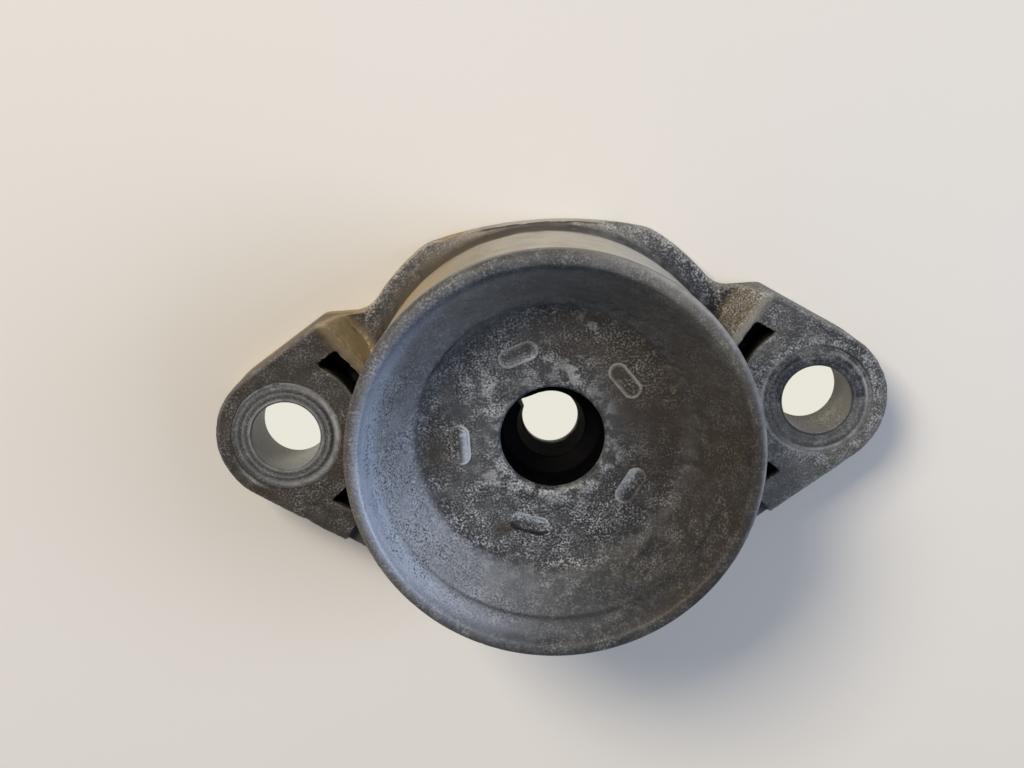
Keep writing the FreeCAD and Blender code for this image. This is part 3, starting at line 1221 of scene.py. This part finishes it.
    def mark_weather(self, mesh: bpy.types.Mesh) -> None:
        """Work out where dust, salt, sooty dirt, wear, painted shade and painted sheen lie, and
        store it on the mesh.

        Each mask is a sum of places, each times its strength. A place is a product of
        soft steps and bell curves over heights, radii, angles and directions.

        Args:
            mesh: the casting's mesh.
        """
        points = points_of(mesh)
        normals = normals_of(mesh)
        x, y, z = points.T
        radius, angle = around_axis(points)
        arc = partial(turn_near, angle)
        bolt_r = np.hypot(np.abs(x) - self.ear_x, y)
        cloud = LatticeNoise(9.0, 5)(points)
        patch = LatticeNoise(3.5, 6)(points)
        up = smooth_step(normals[:, 1] + 0.1 * patch, 0.2, 0.7)
        front = smooth_step(normals[:, 2], 0.5, 0.85)
        left = smooth_step(-x, -14, 12)
        right = 1 - left
        ear = smooth_step(z, 11.0, 12.6) * front * (radius > self.wall_r)
        foot = self.wall_foot_z
        wall = smooth_step(z, foot - 1, foot + 1.5) * (radius < self.wall_r + 0.8)
        trough = (1 - smooth_step(z, 7.5, 10.5)) * (radius > self.wall_r - 0.5)
        crown = arc(88, 24)
        offset = self.rib_offset(points)
        spread = self.rib_foot_spread * (1 - z / self.ear_thickness)
        outside = (z > 4.0) * (radius > self.wall_r + 0.2) * (y > 0)
        side = near(offset + spread, 0, 1.3) * outside
        crest = ear * near(offset, self.rib_thickness / 2, 1.0) * (y > 0)
        pocket_shade = self.shade_in_pocket(points, bolt_r, radius)
        on_print = (z < self.ear_thickness - 0.03) & (z > self.print_marks_z)
        in_print = (bolt_r < self.print_r + 0.06) & on_print
        bore = (bolt_r < self.bolt_hole_r + 0.15) & (z < 12.75)
        shine, line = self.print_marks(points)
        rim = (z < 4.6) & ((radius > self.wall_r + 3.6) | (y > 34.6)) & (np.abs(x) < 34)
        flank = (1 - front) * up * (radius > self.wall_r + 2)
        by_ear = smooth_step(np.abs(x), 34, 38) * smooth_step(z, 1.5, 3.5)
        bare = (1 - 0.7 * crest) * (1 - in_print)
        salted = 0.3 * left + 0.25 * patch
        salted += right * (0.85 - 0.35 * smooth_step(bolt_r, 10.8, 13))
        bends = np.clip(edge_bends(mesh, 2), 0, None)
        edges = smooth_step(bends, 0.08, 0.25) * (z > 4) * (1 - pocket_shade)
        masks = {
            Mask.TAN_DUST: wall * arc(130, 27) * 0.95
            + side * (0.95 * left * (1 - 0.65 * front) + 0.3 * right)
            + crest * left * 0.3
            + flank * left * (0.75 - 0.6 * by_ear)
            + trough * up * left * (1 - crown) * 0.15,
            Mask.PALE_DUST: (wall + trough * front) * crown * (0.95 + 0.25 * patch)
            + wall * arc(57, 18) * 0.8
            + crest * right * 0.5
            + bore * (0.7 * left + 0.35 * right)
            + flank * right * 0.2
            + in_print * left * 0.15
            + ear * right * (y < 0) * 0.2
            + rim * (0.3 + 0.7 * crown),
            Mask.BROWN_STAIN: ear * left * (0.78 + 0.2 * cloud)
            + trough * left * 0.6
            + side * (0.85 * right + 0.6 * left * front)
            + rim * (0.5 - 0.35 * crown)
            + (1 - front) * (1 - wall) * 0.4 * left,
            Mask.GRAIN: ear * salted * bare
            + trough * front * (0.3 + 0.4 * right) * (1 - 0.8 * side)
            + wall * 0.15
            + rim * (0.8 - 0.5 * crown)
            + flank * (0.8 * right + 0.2 * left)
            + side * right * 0.25
            + in_print * (0.3 + 0.25 * left),
            Mask.CRUST: ear * right * near(bolt_r, 11.2, 1.0) * (0.35 + 0.3 * patch),
            # The trough share is painted shade on the low flange round the wall; the print and ear
            # shares are sooty dirt.
            Mask.SOOT: trough * (0.75 + 0.15 * right) * (1 - crown)
            + in_print * np.where(x > 0, 0.95, 0.25)
            + ear * right * (0.1 + 0.5 * smooth_step(bolt_r, 11.0, 12.5) * (x > 50)),
            # Painted sheen of the cool lamp in the left bore and on the wall's upper right.
            Mask.BLUE_SHEEN: bore * 0.2 * left + wall * arc(50, 14) * 0.25,
            Mask.MACHINED: in_print * np.where(x > 0, 0.15, 0.5),
            # Bright print arcs, rubbed metal and partly a painted highlight, and worn edges.
            Mask.EDGE_WEAR: shine + rim * crown * 0.5 + edges * 0.35,
            # Dark lines of the bolt prints, and painted shade in the pockets.
            Mask.CAVITY: line + pocket_shade,
        }
        self.mark_pegs(points, masks)
        for mask, values in masks.items():
            keep_mask(mesh, mask, values)

    def print_marks(self, points: Array) -> Array:
        """Bright and dark marks of both bolt prints, on the ears' front faces only.

        Args:
            points: places in millimetres.

        Returns:
            A row that says how bright each point is, and one that says how dark.
        """
        marks = np.zeros((2, len(points)))
        for side in (-1, 1):
            here = (points[:, 0] * side > 30) & (points[:, 2] > self.print_marks_z)
            marks += here * self.print_shine(side, *around_axis(points, side * self.ear_x))
        return marks

    def mark_pegs(self, points: Array, masks: dict[Mask, Array]) -> None:
        """Give the pegs the bowl floor's weathering, a pale outline, crust and painted sheen on the
        side towards the centre, and painted shade on the outer side.

        The distance from a peg's outline is the distance from its middle line less
        half its width.

        Args:
            points: places in millimetres.
            masks: the casting's weathering, which is changed.
        """
        z = points[:, 2]
        radius, _ = around_axis(points)
        on_peg = smooth_step(z, self.deck_top_z, self.cup_floor_z - 0.4) * (radius < 25)
        for mask, values in BumpStopCup().weather(points).items():
            masks[mask] = np.where(on_peg > 0.5, values, masks[mask])
        half = (self.peg_length - self.peg_width) / 2
        for angle, state in self.pegs:
            pale, inner, outer = state.value[3:]
            across, along, _ = turned(points, -angle).T
            across = across - self.peg_pitch_r
            apart = np.hypot(across, np.maximum(np.abs(along) - half, 0)) - self.peg_width / 2
            near_peg = on_peg * (apart < 0.8)
            outline = near(apart, -0.1, 0.3) * near_peg
            inside = smooth_step(-across, -0.2, 1.0) * near_peg * inner
            # Painted shade along the outer edge of a sunken peg.
            rear = near(apart, -0.25, 0.5) * near_peg * smooth_step(across, 0.1, 0.8)
            for mask, more in (
                (Mask.EDGE_WEAR, outline * (pale + 0.6 * inside)),
                (Mask.CRUST, inside),
                (Mask.BLUE_SHEEN, 0.8 * inside),
                (Mask.CAVITY, rear * outer),
            ):
                masks[mask] = masks[mask] + more


@dataclass
class BumpStopCup:
    """The cup: coned wall, thick worn lip, and a floor with five slots."""

    height: float = 41.2
    floor_z: float = 27.0
    back_z: float = 24.8
    sheet: float = 2.2
    hole_r: float = 9.3
    hole_round: float = 0.9
    floor_r: float = 24.2
    corner_r: float = 5.0
    throat_r: float = 31.5
    throat_z: float = 38.8
    throat_round: float = 3.0
    lip_inner_r: float = 32.9
    lip_r: float = 35.2
    lip_base_z: float = 37.1
    rows: int = 132
    segments: int = 720
    groove_r: float = 29.9
    skin: WeatheredAluminium = field(
        default_factory=lambda: WeatheredAluminium(
            "pressed_aluminium", dark="#393a3a", light="#5a5b5b", coats=COMMON_COATS
        )
    )

    def build(self) -> bpy.types.Object:
        """Make the cup by turning its section, then pit it and cut the slots.

        Returns:
            The finished piece, which stands for the solid.
        """
        mesh = grid_mesh("bump_stop_bowl", turned_grid(self.section(), self.segments))
        push_out(mesh, self.worn_height)
        piece = add_piece("bump_stop_bowl", mesh)
        combine(piece, self.slots(), "DIFFERENCE")
        dress(piece, "bump_stop_bowl", self.skin.build(), crease_deg=50)
        for mask, values in self.weather(points_of(piece.data)).items():
            keep_mask(piece.data, mask, values)
        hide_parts("bump_stop_cup")
        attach(piece, BODY)
        return piece

    def section(self) -> Array:
        """Section of the cup, with rows close together on the side that shows.

        Returns:
            Rows of radius and height.
        """
        lean = (self.throat_r - self.floor_r) / (self.throat_z - self.floor_z)
        outside = self.floor_r + self.sheet * math.hypot(1, lean)
        loop = rounded_loop(
            [
                (self.hole_r, self.back_z, 0.3),
                (outside - lean * self.sheet, self.back_z, 2.0),
                (outside + lean * (self.lip_base_z - self.floor_z), self.lip_base_z, 0),
                (self.lip_r, self.lip_base_z, 0.3),
                (self.lip_r, self.height, 1.5),
                (self.lip_inner_r, self.height, 0.8),
                (self.throat_r, self.throat_z, self.throat_round),
                (self.floor_r, self.floor_z, self.corner_r),
                (self.hole_r, self.floor_z, self.hole_round),
            ]
        )
        radius, height = loop.T
        cone = np.interp(height, [self.floor_z, self.throat_z], [self.floor_r, self.throat_r])
        bowl = (radius < cone + 0.6) & (height > self.floor_z - 0.9)
        shows = bowl | (height > self.lip_base_z + 0.1)
        weight = np.where(shows, 1.0, 0.12)
        weight += 0.6 * near(radius, 16.4, 2.2) * shows
        return spaced_loop(loop, weight, count=self.rows)

    def worn_height(self, points: Array, normals: Array) -> Array:
        """Height of the worn skin: faint waves, pits, torn crust and a turned groove.

        Pits are 0.14 mm deep where a noise 1.1 mm wide passes a limit that the place
        sets. Crust is flakes 0.10 mm thick with steep edges round the centre hole. The
        corner of the floor has larger, deeper pits. The groove is a bell curve over
        the radius.

        Args:
            points: places in millimetres.
            normals: the surface's directions.

        Returns:
            The height at each point, in millimetres.
        """
        radius, angle = around_axis(points)
        inside = smooth_step(normals[:, 2], 0.1, 0.4)
        floor = 1 - smooth_step(radius, 24.0, 27.0)
        ring = near(radius, 24.3, 1.9)
        pitted = 0.25 + 0.75 * np.clip(floor + ring, 0, 1)
        waves = 0.04 * LatticeNoise(9.0, 41)(points)
        grain = LatticeNoise(1.1, 43, 3)(points)
        pits = smooth_step(grain, 0.75 - 0.45 * pitted, 1.25 - 0.3 * pitted)
        holes = smooth_step(LatticeNoise(2.1, 47, 3)(points), 0.25, 0.7) * ring
        flakes = smooth_step(LatticeNoise(2.6, 53, 3)(points), 0.0, 0.18) * self.crusted(points)
        groove = near(radius, self.groove_r, 0.28) * turn_near(angle, 262, 62)
        height = waves + 0.02 * grain - 0.14 * pits - 0.2 * holes + 0.10 * flakes - 0.10 * groove
        top = 1 - smooth_step(points[:, 2], self.height - 0.8, self.height - 0.1)
        edge = 1 - smooth_step(radius, self.lip_r - 0.6, self.lip_r - 0.1)
        inwards = np.minimum(height, 0)
        free = top * edge
        return inside * (free * height + (1 - free) * inwards)

    def crusted(self, points: Array) -> Array:
        """Where pale crust lies: crumbs round the hole and a few soft patches.

        Each patch is a bell curve over the distance from its centre; its row gives x,
        y, the reach and the strength.

        Args:
            points: places in millimetres.

        Returns:
            How thick the crust is at each point, from 0 to 1.
        """
        radius, angle = around_axis(points)
        total = near(radius, 10.4, 1.3) * (0.35 + 0.4 * turn_near(angle, 235, 75))
        patches = (
            (-10.8, 9.8, 3.6, 0.6),
            (-8.6, 4.5, 4.0, 0.45),
            (4.6, 11.6, 2.6, 0.85),
            (-0.8, 13.6, 2.6, 0.7),
            (7.6, 20.6, 2.0, 0.5),
            (10.2, -4.2, 1.6, 0.8),
            (9.2, 5.6, 1.4, 0.6),
            (-9.8, -6.0, 3.2, 0.8),
            (4.4, -10.2, 2.4, 0.6),
            (-20.5, 6.0, 2.4, 0.35),
        )
        for centre_x, centre_y, reach, strength in patches:
            apart = np.hypot(points[:, 0] - centre_x, points[:, 1] - centre_y)
            total = np.maximum(total, strength * near(apart, 0, reach))
        return total * (radius < 24)

    def slots(self) -> bpy.types.Object:
        """Five oval bars that cut the slots for the pegs.

        Returns:
            The closed bars, as one object.
        """
        housing = CastHousing()
        half = (housing.peg_length - housing.peg_width) / 2
        reach = housing.peg_width / 2 - 0.03
        caps = np.linspace(0, math.pi, 24)
        oval_x = np.concatenate([np.cos(caps), -np.cos(caps)]) * reach
        oval_y = np.concatenate([np.sin(caps) * reach + half, -np.sin(caps) * reach - half])
        share = np.array([0.0, 1.0, 1.0, 0.0])[:, None]
        low, high = self.back_z - 1, self.floor_z + 2
        height = np.broadcast_to(np.array([[low], [low], [high], [high]]), (4, len(oval_x)))
        grid = np.stack([housing.peg_pitch_r + share * oval_x, share * oval_y, height], axis=-1)
        bars = [grid_mesh("slot", turned(grid, angle), False) for angle, _ in housing.pegs]
        return merge_parts("slots", bars)

    def weather(self, points: Array) -> dict[Mask, Array]:
        """Where stain, crust, salt, painted sheen and painted shade lie on the bowl.

        Each mask is a sum of places, each times its strength. A place is a product of
        soft steps and bell curves over heights, radii and angles.

        Args:
            points: places in millimetres.

        Returns:
            A value for each point, by kind of weathering.
        """
        x, y, z = points.T
        radius, angle = around_axis(points)
        arc = partial(turn_near, angle)
        cloud = LatticeNoise(8.0, 61)(points)
        patch = LatticeNoise(3.0, 62)(points)
        floor = 1 - smooth_step(radius, 22.5, 25.5)
        lip = smooth_step(z, 38.6, 40.2)
        cone = smooth_step(radius, 23.5, 26.0) * (1 - lip)
        right = arc(-16, 70)
        left = arc(205, 52)
        outer = smooth_step(radius, 34.0, 34.8)
        ring = near(radius, 24.3, 1.4)
        band = near(radius, 31.9, 1.5) * arc(186, 44)
        # Painted shade along the turned groove.
        groove = near(radius, self.groove_r, 0.24) * (arc(255, 48) + 0.6 * arc(325, 12))
        smear = near(x, -21.0, 3.0) * near(y, -0.4, 4.0) + near(x, -9.6, 2.4) * near(y, -16.2, 1.6)
        inner_lip = lip * (1 - smooth_step(radius, 34.0, 34.6))
        brown = (cone + 0.9 * inner_lip) * 1.05 * right * (1 - 0.6 * left)
        brown += floor * arc(8, 60) * smooth_step(radius, 10.5, 15) * 0.95
        brown += floor * arc(66, 40) * smooth_step(radius, 12, 17) * 0.65 + smear * 0.75
        brown += lip * outer * (arc(190, 45) * 0.6 + 0.15)
        grain = floor * (0.6 + 0.4 * arc(240, 60) - 0.42 * arc(4, 62))
        grain += cone * (0.16 + 0.72 * arc(192, 50) + 0.05 * arc(265, 30))
        grain += lip * (0.28 - 0.18 * right)
        grain *= (1 - 0.7 * np.clip(smear, 0, 1)) * (1 + 0.7 * patch)
        soot = ring * (0.08 + 0.6 * arc(222, 48) + 0.5 * arc(300, 34) + 0.25 * patch)
        soot += cone * arc(276, 52) * 1.1 + lip * right * 0.35
        soot += floor * (0.15 * arc(270, 60) + 0.3 * arc(325, 40))
        # Thin arcs of painted shade along the floor's corner.
        creased = 0.8 * arc(140, 28) + 0.5 * arc(88, 14) + 0.5 * arc(35, 16)
        crease = near(radius + 0.4 * patch, 24.2, 0.22) * creased
        scuff = lip * outer * arc(-46, 13)
        strip = lip * smooth_step(radius, 34.3, 34.9) * (arc(45, 24) + 0.8 * arc(-6, 22))
        return {
            Mask.TAN_DUST: lip * outer * arc(200, 30) * 0.2,
            Mask.PALE_DUST: lip * arc(50, 26) * 0.25 + cone * (0.24 * arc(100, 60) + 0.4 * left),
            Mask.BROWN_STAIN: brown * (0.95 + 0.25 * cloud),
            Mask.GRAIN: grain,
            Mask.CRUST: self.crusted(points),
            Mask.SOOT: soot + scuff * 0.9,
            # Painted sheen of the cool lamp on the lip band and the cone's left side.
            Mask.BLUE_SHEEN: band * 1.15 + cone * left * 0.42,
            Mask.MACHINED: band * 0.25,
            Mask.EDGE_WEAR: strip * 0.6,
            # Painted shade in the groove and in the corner's arcs, and a dark scuff on the lip.
            Mask.CAVITY: groove * 0.75 + crease + scuff * 0.35,
        }


@dataclass
class TornEdge:
    """The torn corner beside the rod hole, through rubber and steel.

    Its two sides run from the tip to a point on the neck's rim and to one on the rod
    hole's edge. Places are radii and angles about the rod's axis.
    """

    tip: tuple[float, float] = (7.7, 139.0)
    ends: tuple[tuple[float, float], ...] = ((6.3, 105.0), (5.25, 157.0))
    ragged_mm: float = 0.1

    def reach(self, grid: Array) -> Array:
        """Radius of the tear's edge in each direction, and 0 outside the tear.

        A side from (r1, a1) to (r2, a2) is met at the angle a at the radius
        r1 r2 sin(a2 - a1) / (r1 sin(a - a1) + r2 sin(a2 - a)).

        Args:
            grid: points whose directions are asked for.

        Returns:
            A radius for each point, in millimetres.
        """
        turn = np.arctan2(grid[..., 1], grid[..., 0])
        tip_r, tip_turn = self.tip[0], math.radians(self.tip[1])
        edge = np.zeros(turn.shape)
        for end_r, end_deg in self.ends:
            end_turn = math.radians(end_deg)
            between = (turn - tip_turn) * (turn - end_turn) <= 0
            below = tip_r * np.sin(turn - tip_turn) + end_r * np.sin(end_turn - turn)
            across = tip_r * end_r * math.sin(end_turn - tip_turn)
            edge = np.where(between, across / np.where(between, below, 1), edge)
        rough = LatticeNoise(0.7, 71)(grid.reshape(-1, 3)).reshape(edge.shape)
        return np.where(edge > 0, edge + self.ragged_mm * rough, 0)

    def widen(self, grid: Array, rows: Array) -> Array:
        """Move the chosen rows out to the tear's edge where it passes them.

        Args:
            grid: points by row and column.
            rows: which rows may move.

        Returns:
            The points with the tear in them.
        """
        radius, _ = around_axis(grid)
        wanted = np.where(rows[:, None], np.maximum(radius, self.reach(grid)), radius)
        share = wanted / radius
        return grid * np.stack([share, share, np.ones_like(share)], axis=-1)


@dataclass
class RubberBearing:
    """The moulded rubber between the casting and its steel plate."""

    outer_r: float = 22.45
    back_z: float = 0.8
    shelf_z: float = 20.75
    neck_outer_r: float = 12.45
    front_z: float = 24.3
    well_r: float = 11.5
    groove_inner_r: float = 16.0
    groove_outer_r: float = 19.0
    groove_depth: float = 3.5
    pocket_r: float = 17.05
    pocket_low_z: float = 9.45
    pocket_high_z: float = 11.05
    mouth_r: float = 10.6
    mouth_floor_r: float = 9.0
    mouth_floor_z: float = 18.2
    neck_end_r: float = 6.3
    neck_end_z: float = 17.0
    neck_start_r: float = 5.5
    ridge_count: int = 9
    ridge_mm: float = 0.16

    def build(self) -> bpy.types.Object:
        """Make the rubber by turning its section, ridged and torn at the neck.

        Returns:
            The finished piece, which stands for the solid.
        """
        loop = rounded_loop(
            [
                (self.well_r, self.back_z, 0.6),
                (self.groove_inner_r, self.back_z, 0.6),
                (self.groove_inner_r, self.back_z + self.groove_depth, 1.0),
                (self.groove_outer_r, self.back_z + self.groove_depth, 1.0),
                (self.groove_outer_r, self.back_z, 0.6),
                (self.outer_r, self.back_z, 0.6),
                (self.outer_r, self.shelf_z, 0),
                (self.neck_outer_r, self.shelf_z, 0),
                (self.neck_outer_r, self.front_z, 0.4),
                (self.mouth_r, self.front_z, 0.4),
                (self.mouth_floor_r, self.mouth_floor_z, 0.8),
                (self.neck_end_r, self.neck_end_z, 0.3),
                (self.neck_start_r, self.pocket_high_z, 0),
                (self.pocket_r, self.pocket_high_z, 0),
                (self.pocket_r, self.pocket_low_z, 0),
                (self.well_r, self.pocket_low_z, 0),
            ]
        )
        radius, height = loop.T
        neck = (radius < self.neck_outer_r) & (height > self.pocket_high_z)
        section = spaced_loop(loop, np.where(neck, 1.0, 0.25), count=230)
        radius, height = section.T
        wall = (height > self.pocket_high_z + 0.02) & (height < self.neck_end_z) & (radius < 7)
        climb = (height - self.pocket_high_z) / (self.neck_end_z - self.pocket_high_z)
        ridges = np.abs((climb * self.ridge_count) % 1 - 0.35)
        section[:, 0] += wall * self.ridge_mm * (ridges - 0.3)
        grid = turned_grid(section, ROUND_STEPS)
        torn = (height > self.pocket_high_z - 0.01) & (radius < self.mouth_floor_r)
        grid = TornEdge().widen(grid, torn)
        piece = add_piece("rubber_bearing", grid_mesh("rubber_bearing", grid))
        dress(piece, "rubber_bearing", MOULDED_RUBBER.build(), crease_deg=40)
        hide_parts("rubber_bush")
        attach(piece, BODY)
        return piece


@dataclass
class SteelInsert:
    """The stamped plate inside the rubber, with the rod hole."""

    hole_r: float = 5.25
    rim_r: float = 17.0
    low_z: float = 9.5
    high_z: float = 11.0

    def build(self) -> bpy.types.Object:
        """Make the plate by turning its section, torn at the rod hole.

        Returns:
            The finished piece, which stands for the solid.
        """
        loop = rounded_loop(
            [
                (self.hole_r, self.low_z, 0.2),
                (self.rim_r, self.low_z, 0.3),
                (self.rim_r, self.high_z, 0.3),
                (self.hole_r, self.high_z, 0.2),
            ]
        )
        weight = np.where(loop[:, 0] < 9.5, 1.0, 0.3)
        grid = turned_grid(spaced_loop(loop, weight, count=90), ROUND_STEPS)
        grid = TornEdge().widen(grid, around_axis(grid[:, 0])[0] < 8.8)
        piece = add_piece("steel_insert", grid_mesh("steel_insert", grid))
        dress(piece, "steel_insert", STAMPED_STEEL.build(), crease_deg=40)
        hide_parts("steel_plate")
        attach(piece, BODY)
        return piece


@dataclass
class Studio:
    """Pale floor, soft lamps and the camera at the photograph's place."""

    floor_colour: str = "#e3e0da"
    floor_cream: str = "#e0dacc"
    floor_cloud_mm: float = 80.0
    floor_half_mm: float = 3000.0
    # Colour of the painted glow where the camera looks through a hole.
    seen_through: str = "#e9e6da"
    room_light: str = "#dde8ff"
    room_strength: float = 0.29
    backdrop: str = "#d6d6d4"
    focal_px: float = 1200.0
    image_px: float = 1024.0
    sensor_mm: float = 36.0
    camera_mm: tuple[float, float, float] = (-2.9, 59.4, 230.6)
    tilt_deg: float = 13.55
    yaw_deg: float = -0.03
    roll_deg: float = 4.06
    hole_spots: tuple[tuple[float, float], ...] = ((0.0, 9.5), (-50.0, 8.0), (50.0, 8.0))
    lamps: tuple[tuple[str, tuple[float, float, float], float, str], ...] = (
        ("key", (-0.56, 0.80, 0.92), 15.6, "#fff3e2"),
        ("right", (0.80, 0.02, 0.55), 4.6, "#d8e5ff"),
    )
    lamp_size_m: float = 0.5
    lamp_aim_m: tuple[float, float, float] = (0.0, 0.0, 0.02)

    def build(self) -> None:
        """Set up the view, the camera, the floor, the world and the lamps."""
        bpy.context.scene.view_settings.view_transform = "Standard"
        self.place_camera()
        self.lay_floor()
        self.light_world()
        self.hang_lamps()

    def place_camera(self) -> None:
        """Camera that turns by tilt, yaw and roll, in that order, from looking down."""
        turn = (
            Matrix.Rotation(math.radians(self.tilt_deg), 3, "X")
            @ Matrix.Rotation(math.radians(self.yaw_deg), 3, "Y")
            @ Matrix.Rotation(math.radians(self.roll_deg), 3, "Z")
        )
        lens = bpy.data.cameras.new("view")
        lens.sensor_width = self.sensor_mm
        lens.lens = self.focal_px / self.image_px * self.sensor_mm
        lens.clip_start = 0.01
        camera = bpy.data.objects.new("view", lens)
        place = Matrix.Translation(Vector(self.camera_mm) * MM)
        camera.matrix_world = place @ turn.transposed().to_4x4()
        bpy.context.scene.collection.objects.link(camera)
        bpy.context.scene.camera = camera

    def lay_floor(self) -> None:
        """Pale flat floor under the mounting face."""
        half = self.floor_half_mm
        corners = np.array([[-half, -half, 0], [half, -half, 0], [half, half, 0], [-half, half, 0]])
        floor = add_piece("floor", quad_mesh("floor", corners, np.array([[0, 1, 2, 3]])))
        floor.data.materials.append(self.floor_material())

    def floor_material(self) -> bpy.types.Material:
        """Matt painted board, with a painted glow of pale daylight where the camera looks through a
        hole.

        Clouds of cream 80 mm wide keep the board from looking like flat paper.

        Returns:
            The finished material.
        """
        material = bpy.data.materials.new("painted_board")
        tree = empty_tree(material)
        place = add_node(tree, "TexCoord", output="Object")
        spots = {"Vector": place, "Scale": per_mm(self.floor_cloud_mm), "Detail": 3.0}
        cloud = add_node(tree, "TexNoise", spots)
        tones = {0: cloud, 6: linear_colour(self.floor_colour), 7: linear_colour(self.floor_cream)}
        colour = add_node(tree, "Mix", tones, 2, data_type="RGBA")
        board = add_node(tree, "BsdfPrincipled", {"Base Color": colour, "Roughness": 0.75})
        glow = add_node(tree, "Emission", {"Color": linear_colour(self.seen_through)})
        ray = add_node(tree, "LightPath").node.outputs
        either = {0: ray["Is Camera Ray"], 1: ray["Is Glossy Ray"]}
        seen = add_node(tree, "Math", either, operation="MAXIMUM")
        in_hole = 0.0
        for centre_x, reach in self.hole_spots:
            both = {0: place, 1: (centre_x * MM, 0, 0)}
            apart = add_node(tree, "VectorMath", both, "Value", operation="DISTANCE")
            inside = add_node(tree, "Math", {0: apart, 1: reach * MM}, operation="LESS_THAN")
            in_hole = add_node(tree, "Math", {0: inside, 1: in_hole}, operation="MAXIMUM")
        lit = add_node(tree, "Math", {0: in_hole, 1: seen}, operation="MULTIPLY")
        mixed = add_node(tree, "MixShader", {0: lit, 1: board, 2: glow})
        add_node(tree, "OutputMaterial", {"Surface": mixed})
        return material

    def light_world(self) -> None:
        """Even room light, and a pale backdrop where a camera ray leaves the scene."""
        world = bpy.data.worlds.new("room")
        bpy.context.scene.world = world
        tree = empty_tree(world)
        ray = add_node(tree, "LightPath").node.outputs
        either = {0: ray["Is Camera Ray"], 1: ray["Is Transmission Ray"]}
        seen = add_node(tree, "Math", either, operation="MAXIMUM")
        dim = {"Color": linear_colour(self.room_light), "Strength": self.room_strength}
        pale = {"Color": linear_colour(self.backdrop), "Strength": 1.0}
        room, backdrop = (add_node(tree, "Background", look) for look in (dim, pale))
        mixed = add_node(tree, "MixShader", {0: seen, 1: room, 2: backdrop})
        add_node(tree, "OutputWorld", {"Surface": mixed})

    def hang_lamps(self) -> None:
        """A warm lamp from the upper left and a cool one from the right."""
        for name, place, watts, tint in self.lamps:
            lamp = bpy.data.lights.new(name, "AREA")
            lamp.shape = "SQUARE"
            lamp.size = self.lamp_size_m
            lamp.energy = watts
            lamp.color = linear_colour(tint)[:3]
            holder = bpy.data.objects.new(name, lamp)
            holder.location = place
            holder.rotation_mode = "QUATERNION"
            aim = Vector(self.lamp_aim_m) - Vector(place)
            holder.rotation_quaternion = aim.to_track_quat("-Z", "Y")
            bpy.context.scene.collection.objects.link(holder)


def main() -> None:
    """Build the studio and every piece in order, and report each through logging."""
    logging.basicConfig(level=logging.INFO, format="%(name)s: %(message)s")
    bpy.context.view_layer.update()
    Studio().build()
    for part in (CastHousing(), BumpStopCup(), RubberBearing(), SteelInsert()):
        piece = part.build()
        piece.data.calc_loop_triangles()
        LOG.info("%s: %d triangles", piece.name, len(piece.data.loop_triangles))


if __name__ == "__main__":
    main()
